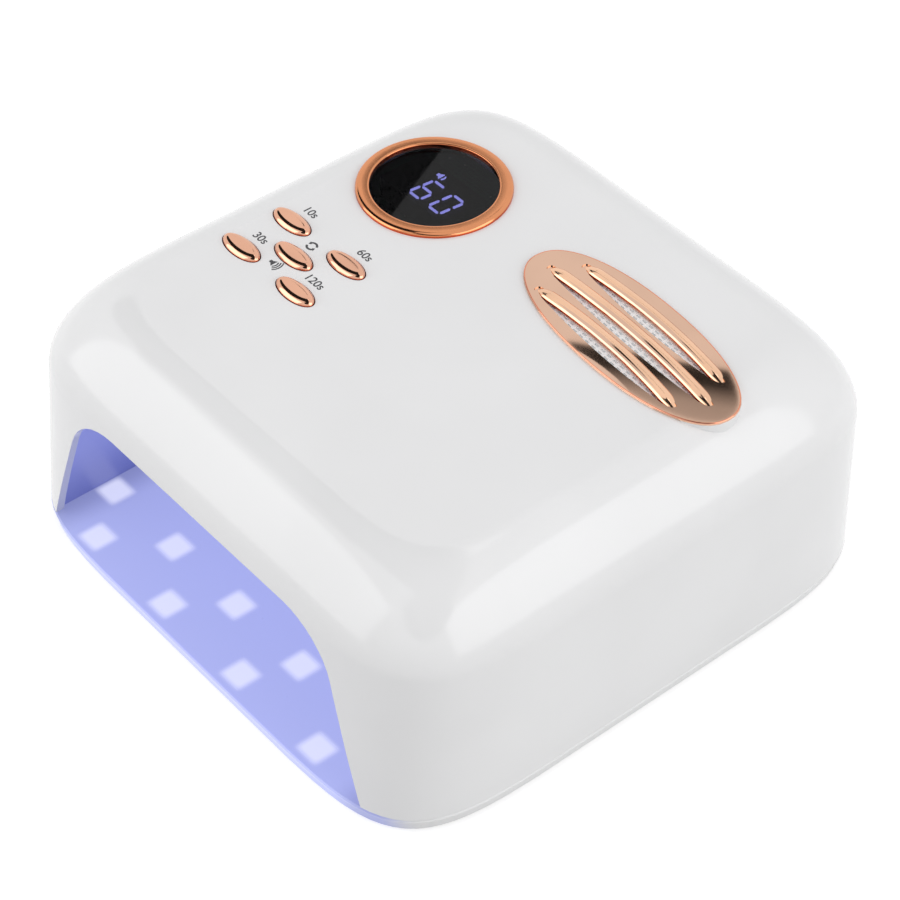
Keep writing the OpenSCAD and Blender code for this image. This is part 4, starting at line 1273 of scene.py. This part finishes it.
@dataclass
class Vent(SubAssembly):
    """The grille with its screen, and the fan under it."""

    middle: Flat = (42.0, 39.3)
    turn: float = -4.0
    length: float = 96.0
    width: float = 38.0
    # How square the outline is, where 2 is an ellipse.
    fullness: float = 2.2
    slot_pitch: float = 9.6
    # How far the middle slot lies ahead of the grille's middle.
    slot_ahead: float = 1.8
    slot_lengths: tuple[float, ...] = (61.0, 73.0, 61.0)
    bar_r: float = 2.4
    bar_top: float = 91.95
    # A bar's height as a share of its width.
    bar_flatness: float = 0.58
    # How far behind the slot's middle line a bar runs, at its ends and in its middle.
    bar_back: Flat = (1.9, 4.0)
    # How far a bar's points reach past the slot, dip before the bar is flattened, and lean forwards.
    bar_nose: float = 3.0
    bar_dip: float = 1.3
    bar_tuck: float = 0.2
    bar_taper: float = 0.6
    bar_steps: int = 14
    back_in: float = 3.3
    back_z: Flat = (89.0, 89.15)
    back_steps: int = 96
    # The seat under the plate: its wall, where it is drawn, and how far it sinks into the housing.
    seat_in: float = 0.3
    seat_wall: float = 0.8
    seat_top: float = 90.2
    seat_drop: float = 1.0
    seat_sink: float = 0.12
    seat_least: float = 0.36
    seat_steps: int = 160
    rim_r: float = 0.32
    rim_in: float = 0.45
    rim_z: float = 90.75
    rim_steps: int = 120

    def build(self) -> None:
        """Models and dresses the pieces."""
        grille = welded("vent_grille", "grille_plate", degrees=12.0)
        self.add(grille, Body.HOUSING, GRILLE_COPPER, "rose_gold", ["vent_grille"])
        rim_path = self.outline(self.rim_in, self.rim_z, self.rim_steps)
        rim = bead(rim_path, self.rim_r, "grille_rim", closed=True)
        self.add(rim, Body.HOUSING, RIM_COPPER, "rose_gold")
        self.add(self.seat(bpy.data.objects["housing_skin"]), Body.HOUSING, WHITE_GLOSS, "white_shell")
        for row, length in enumerate(self.slot_lengths):
            self.add(self.bar(row, length), Body.HOUSING, BAR_COPPER_AND_HIGHLIGHT, "rose_gold")
        screen = welded("vent_mesh", "vent_screen", degrees=30.0)
        self.add(screen, Body.HOUSING, SCREEN_WHITE, "mesh_white", ["vent_mesh"])
        # Painted shade: the grey back shows through the screen's holes.
        self.add(self.screen_back(), Body.HOUSING, HOLE_SHADE_GREY, "mesh_white")
        self.dress(["fan_frame", "fan_rotor"], BLACK_MATT)
        self.dress(["fan_coil"], COPPER_WIRE)
        self.dress(["fan_screws"], STEEL)

    def placed(self, x: float, y: float, z: float) -> Point:
        """Returns a point of the grille's own plane, where it lies on the lamp."""
        turn = math.radians(self.turn)
        return (
            self.middle[0] + x * math.cos(turn) - y * math.sin(turn),
            self.middle[1] + x * math.sin(turn) + y * math.cos(turn), z
        )

    def outline(self, inset: float, z: float, count: int) -> list[Point]:
        """Returns points of the grille's outline, drawn in by an inset, at a height."""
        points = []
        for i in range(count):
            turn = math.tau * i / count
            x = fuller(math.cos(turn), self.fullness) * (self.length / 2 - inset)
            y = fuller(math.sin(turn), self.fullness) * (self.width / 2 - inset)
            points.append(self.placed(x, y, z))
        return points

    def seat(self, skin: bpy.types.Object) -> bpy.types.Object:
        """Models the wall that fills the space under the plate where the housing's edge falls away.

        Args:
            skin: The housing's skin, which the wall reaches down to.

        Returns:
            The wall.
        """
        path = self.outline(self.seat_in, self.seat_top, self.seat_steps)
        wall = traced("grille_seat", path, filled=False)
        edit(wall)
        extrude(-self.seat_drop)
        leave_edit()
        # The rays need the skin's mesh to be up to date.
        bpy.context.view_layer.update()
        above, halfway, highest = metres(
            2 * self.seat_top, self.seat_top - self.seat_drop / 2, self.seat_top - self.seat_least
        )
        for vertex in wall.data.vertices:
            if vertex.co.z < halfway:
                start = Vector((vertex.co.x, vertex.co.y, above))
                hit, place, _, _ = skin.ray_cast(start, Vector((0, 0, -1)))
                foot = place.z if hit else vertex.co.z
                vertex.co.z = min(foot - self.seat_sink * MM, highest)
        merge(wall, distance=0.0005)
        apply_modifier(wall, "SOLIDIFY", thickness=self.seat_wall * MM, offset=-1.0)
        smooth(wall, degrees=40.0)
        return wall

    def bar(self, row: int, length: float) -> bpy.types.Object:
        """Models the bowed bar behind one slot.

        Args:
            row: The slot, counted from the front.
            length: The slot's length.

        Returns:
            The bar.
        """
        slot_y = (row - 1) * self.slot_pitch - self.slot_ahead
        low, high = (slot_y + back for back in self.bar_back)
        half = length / 2
        nose_x, nose_y = half + self.bar_nose, low - self.bar_tuck
        points = [self.placed(-nose_x, nose_y, -self.bar_dip)]
        for i in range(self.bar_steps + 1):
            share = 2 * i / self.bar_steps - 1
            points.append(self.placed(share * half, low + (high - low) * (1 - share ** 2), 0.0))
        points.append(self.placed(nose_x, nose_y, -self.bar_dip))
        made = bead(points, self.bar_r, f"grille_bar_{row + 1}", taper=self.bar_taper)
        made.scale[2] = self.bar_flatness
        made.location[2] = (self.bar_top - self.bar_r * self.bar_flatness) * MM
        return settle(made)

    def screen_back(self) -> bpy.types.Object:
        """Models a thin closed back behind the punched screen, which keeps its holes pale; its grey is
        painted shade for the holes.
        """
        low, high = self.back_z
        back = traced("screen_back", self.outline(self.back_in, low, self.back_steps))
        edit(back)
        extrude(high - low)
        leave_edit()
        merge(back, distance=0.001)
        return back


@dataclass
class PowerInlet(SubAssembly):
    """The inlet and the leads inside."""

    def build(self) -> None:
        """Models and dresses the pieces."""
        self.dress(["dc_jack"], BLACK_MATT)
        self.dress(["jack_pin"], STEEL)
        power = welded("power_lead", "power_lead_round", degrees=60.0)
        self.add(power, Body.HOUSING, BLACK_LEAD, "lead_black", ["power_lead"])
        fan = welded("fan_lead", "fan_lead_round", degrees=60.0)
        self.add(fan, Body.HOUSING, RED_LEAD, "lead_red", ["fan_lead"])


# The studio


@dataclass(frozen=True)
class SoftBox:
    """A soft lamp that points at the object."""

    name: str
    place: Point
    size: float
    watts: float


@dataclass(frozen=True)
class Card:
    """A level oval card over the set that only polished faces show.

    Its tones run along a heading, and each is given with its distance from the card's middle.
    """

    name: str
    place: Point
    reach: Flat
    turn: float
    heading: float
    tones: tuple[Flat, ...]


@dataclass
class Studio:
    """Floor, lamps, cards, world and camera."""

    azimuth: float = 49.45
    elevation: float = 43.97
    roll: float = 0.754
    focal_px: float = 2787.6
    image_px: float = 900.0
    distance: float = 0.9139
    aim_z: float = 0.04
    aim_right: float = 0.00116
    aim_up: float = -0.004915
    sensor: float = 36.0
    floor_r: float = 3.0
    floor_z: float = -0.0003
    floor_tones: Flat = (0.50, 0.51)
    floor_shown: float = 0.66
    surround: Colour = (0.60, 0.60, 0.605)
    lamps_aim: Point = (0.0, 0.0, 0.05)
    lamps: tuple[SoftBox, ...] = (
        SoftBox("lamp_left", (-0.9, -1.4, 0.75), 1.8, 13.8),
        SoftBox("lamp_right", (1.6, 0.5, 0.8), 1.9, 16.6),
        SoftBox("lamp_top", (-0.2, 0.2, 1.9), 0.95, 3.0),
    )
    cards: tuple[Card, ...] = (
        # The dark and the paler part of the display's lens.
        Card("card_lens", (-0.6304, 0.5232, 0.69), (0.05, 0.05), 0.0, 24.9,
             ((-0.05, 0.0), (-0.0122, 0.0), (-0.0116, 0.36), (0.05, 0.36))),
        # The bright and the dark part of the grille's plate.
        Card("card_grille", (-0.4343, 0.5228, 0.69), (0.0968, 0.038), -4.0, -54.9,
             ((-0.1, 1.0), (0.0164, 1.0), (0.0185, 0.02), (0.0335, 0.03), (0.0518, 0.5), (0.0986, 0.62))),
        # A long dark strip overhead.
        Card("card_over", (-0.65, 0.0, 1.2), (1.4, 0.44), -6.0, 0.0, ((-1.4, 0.02), (1.4, 0.02))),
        # The bright tops of the bars.
        Card("card_bars", (-0.005, 0.036, 0.16), (0.056, 0.040), 0.0, 0.0, ((-0.056, 1.0), (0.056, 1.0))),
        # The dark on the camera's side.
        Card("card_front", (1.18, -1.01, 1.5), (1.1, 0.8), -40.55, -40.55,
             ((-1.1, 0.5), (-0.8, 0.03), (0.8, 0.03), (1.1, 0.5))),
    )

    def build(self) -> None:
        """Makes all of it."""
        self.camera()
        self.floor()
        for lamp in self.lamps:
            self.lamp(lamp)
        for card in self.cards:
            self.card(card)
        self.world()

    def camera(self) -> None:
        """Sets the camera where the reference was taken from."""
        a, e, r = (math.radians(v) for v in (self.azimuth, self.elevation, self.roll))
        back = Vector((math.sin(a) * math.cos(e), -math.cos(a) * math.cos(e), math.sin(e)))
        level = Vector((math.cos(a), math.sin(a), 0))
        upright = back.cross(level)
        right = level * math.cos(r) + upright * math.sin(r)
        up = upright * math.cos(r) - level * math.sin(r)
        aim = Vector((0, 0, self.aim_z)) + right * self.aim_right + up * self.aim_up
        data = bpy.data.cameras.new("camera")
        data.sensor_width = self.sensor
        data.lens = self.focal_px / self.image_px * self.sensor
        data.clip_start = 0.01
        camera = bpy.data.objects.new("camera", data)
        bpy.context.scene.collection.objects.link(camera)
        turn = Matrix((right, up, back)).transposed().to_4x4()
        camera.matrix_world = Matrix.Translation(aim + back * self.distance) @ turn
        bpy.context.scene.camera = camera

    def floor(self) -> None:
        """Lays a pale floor that shows from above only."""
        deselect()
        bpy.ops.mesh.primitive_circle_add(
            vertices=96, radius=self.floor_r, fill_type="NGON", location=(0, 0, self.floor_z)
        )
        floor = named("floor")
        material, s, shader = new_material("floor_pale")
        low, high, shown = ((tone,) * 3 for tone in (*self.floor_tones, self.floor_shown))
        s.feed_all(shader, {
            "Base Color": s.mix(s.noise(s.place(), 40.0, detail=3.0), low, high),
            "Roughness": 0.9,
            "Specular IOR Level": 0.0,
            "Emission Color": s.mix(self.seen(s), BLACK, shown),
            "Emission Strength": 1.0,
        })
        from_below = s.node("NewGeometry").outputs["Backfacing"]
        both = s.node("MixShader")
        layers = (from_below, shader.outputs[0], s.node("BsdfTransparent").outputs[0])
        for socket, layer in zip(both.inputs, layers):
            s.feed(socket, layer)
        s.feed(s.find("OUTPUT_MATERIAL").inputs["Surface"], both.outputs[0])
        paint(floor, material)

    def seen(self, s: Sketch) -> Socket:
        """Returns 1 for rays that show the background, and 0 for those that light the object."""
        path = s.node("LightPath").outputs
        either = s.math("MAXIMUM", path["Is Camera Ray"], path["Is Glossy Ray"])
        return s.math("MAXIMUM", either, path["Is Transmission Ray"])

    def lamp(self, box: SoftBox) -> None:
        """Hangs one soft lamp."""
        data = bpy.data.lights.new(box.name, "AREA")
        data.size = box.size
        data.energy = box.watts
        lamp = bpy.data.objects.new(box.name, data)
        bpy.context.scene.collection.objects.link(lamp)
        lamp.location = box.place
        lamp.rotation_mode = "QUATERNION"
        lamp.rotation_quaternion = (Vector(self.lamps_aim) - Vector(box.place)).to_track_quat("-Z", "Y")

    def card(self, card: Card) -> None:
        """Hangs one card."""
        deselect()
        bpy.ops.mesh.primitive_circle_add(vertices=64, radius=1, fill_type="NGON", location=(0, 0, 0))
        sheet = named(card.name)
        sheet.scale = (*card.reach, 1)
        sheet.rotation_euler[2] = math.radians(card.turn)
        sheet.location = card.place
        settle(sheet)
        material, s, shader = new_material(card.name)
        x, y, _ = s.split(s.place())
        heading = math.radians(card.heading)
        along_x = s.math("MULTIPLY", s.math("SUBTRACT", x, card.place[0]), math.cos(heading))
        along = s.math("MULTIPLY_ADD", s.math("SUBTRACT", y, card.place[1]), math.sin(heading), along_x)
        low, high = card.tones[0][0], card.tones[-1][0]
        share = s.node("MapRange", {"Value": along, "From Min": low, "From Max": high})
        ramp = s.node("ValToRGB", {"Fac": share.outputs["Result"]})
        stops = ramp.color_ramp.elements
        while len(stops) < len(card.tones):
            stops.new(0.5)
        for stop, (at, tone) in zip(stops, card.tones):
            stop.position = (at - low) / (high - low)
            stop.color = (tone, tone, tone, 1.0)
        s.feed_all(shader, {
            "Base Color": BLACK,
            "Specular IOR Level": 0.0,
            "Emission Color": ramp.outputs["Color"],
            "Emission Strength": 1.0,
        })
        paint(sheet, material)
        for ray in ("camera", "diffuse", "transmission", "volume_scatter", "shadow"):
            setattr(sheet, "visible_" + ray, False)

    def world(self) -> None:
        """Sets an even pale surround."""
        world = bpy.data.worlds.new("surround")
        bpy.context.scene.world = world
        world.use_nodes = True
        s = Sketch(world.node_tree)
        background = s.find("BACKGROUND")
        shown = s.mix(self.seen(s), self.surround, (1.0, 1.0, 1.0))
        s.feed_all(background, {"Color": shown, "Strength": 1.0})
        bpy.context.scene.view_settings.view_transform = "Standard"


def main() -> None:
    """Builds the lamp and its studio."""
    logging.basicConfig(level=logging.INFO, format="%(name)s: %(message)s", stream=sys.stdout)
    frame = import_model()
    finishes: dict[str, bpy.types.Material] = {}
    for kind in (Housing, TunnelLights, Tray, Controls, Display, Vent, PowerInlet):
        assembly = kind(frame["nodes"], finishes)
        assembly.build()
        LOG.info("%s done, %d new pieces", kind.__name__, len(assembly.made))
    Studio().build()


if __name__ == "__main__":
    main()
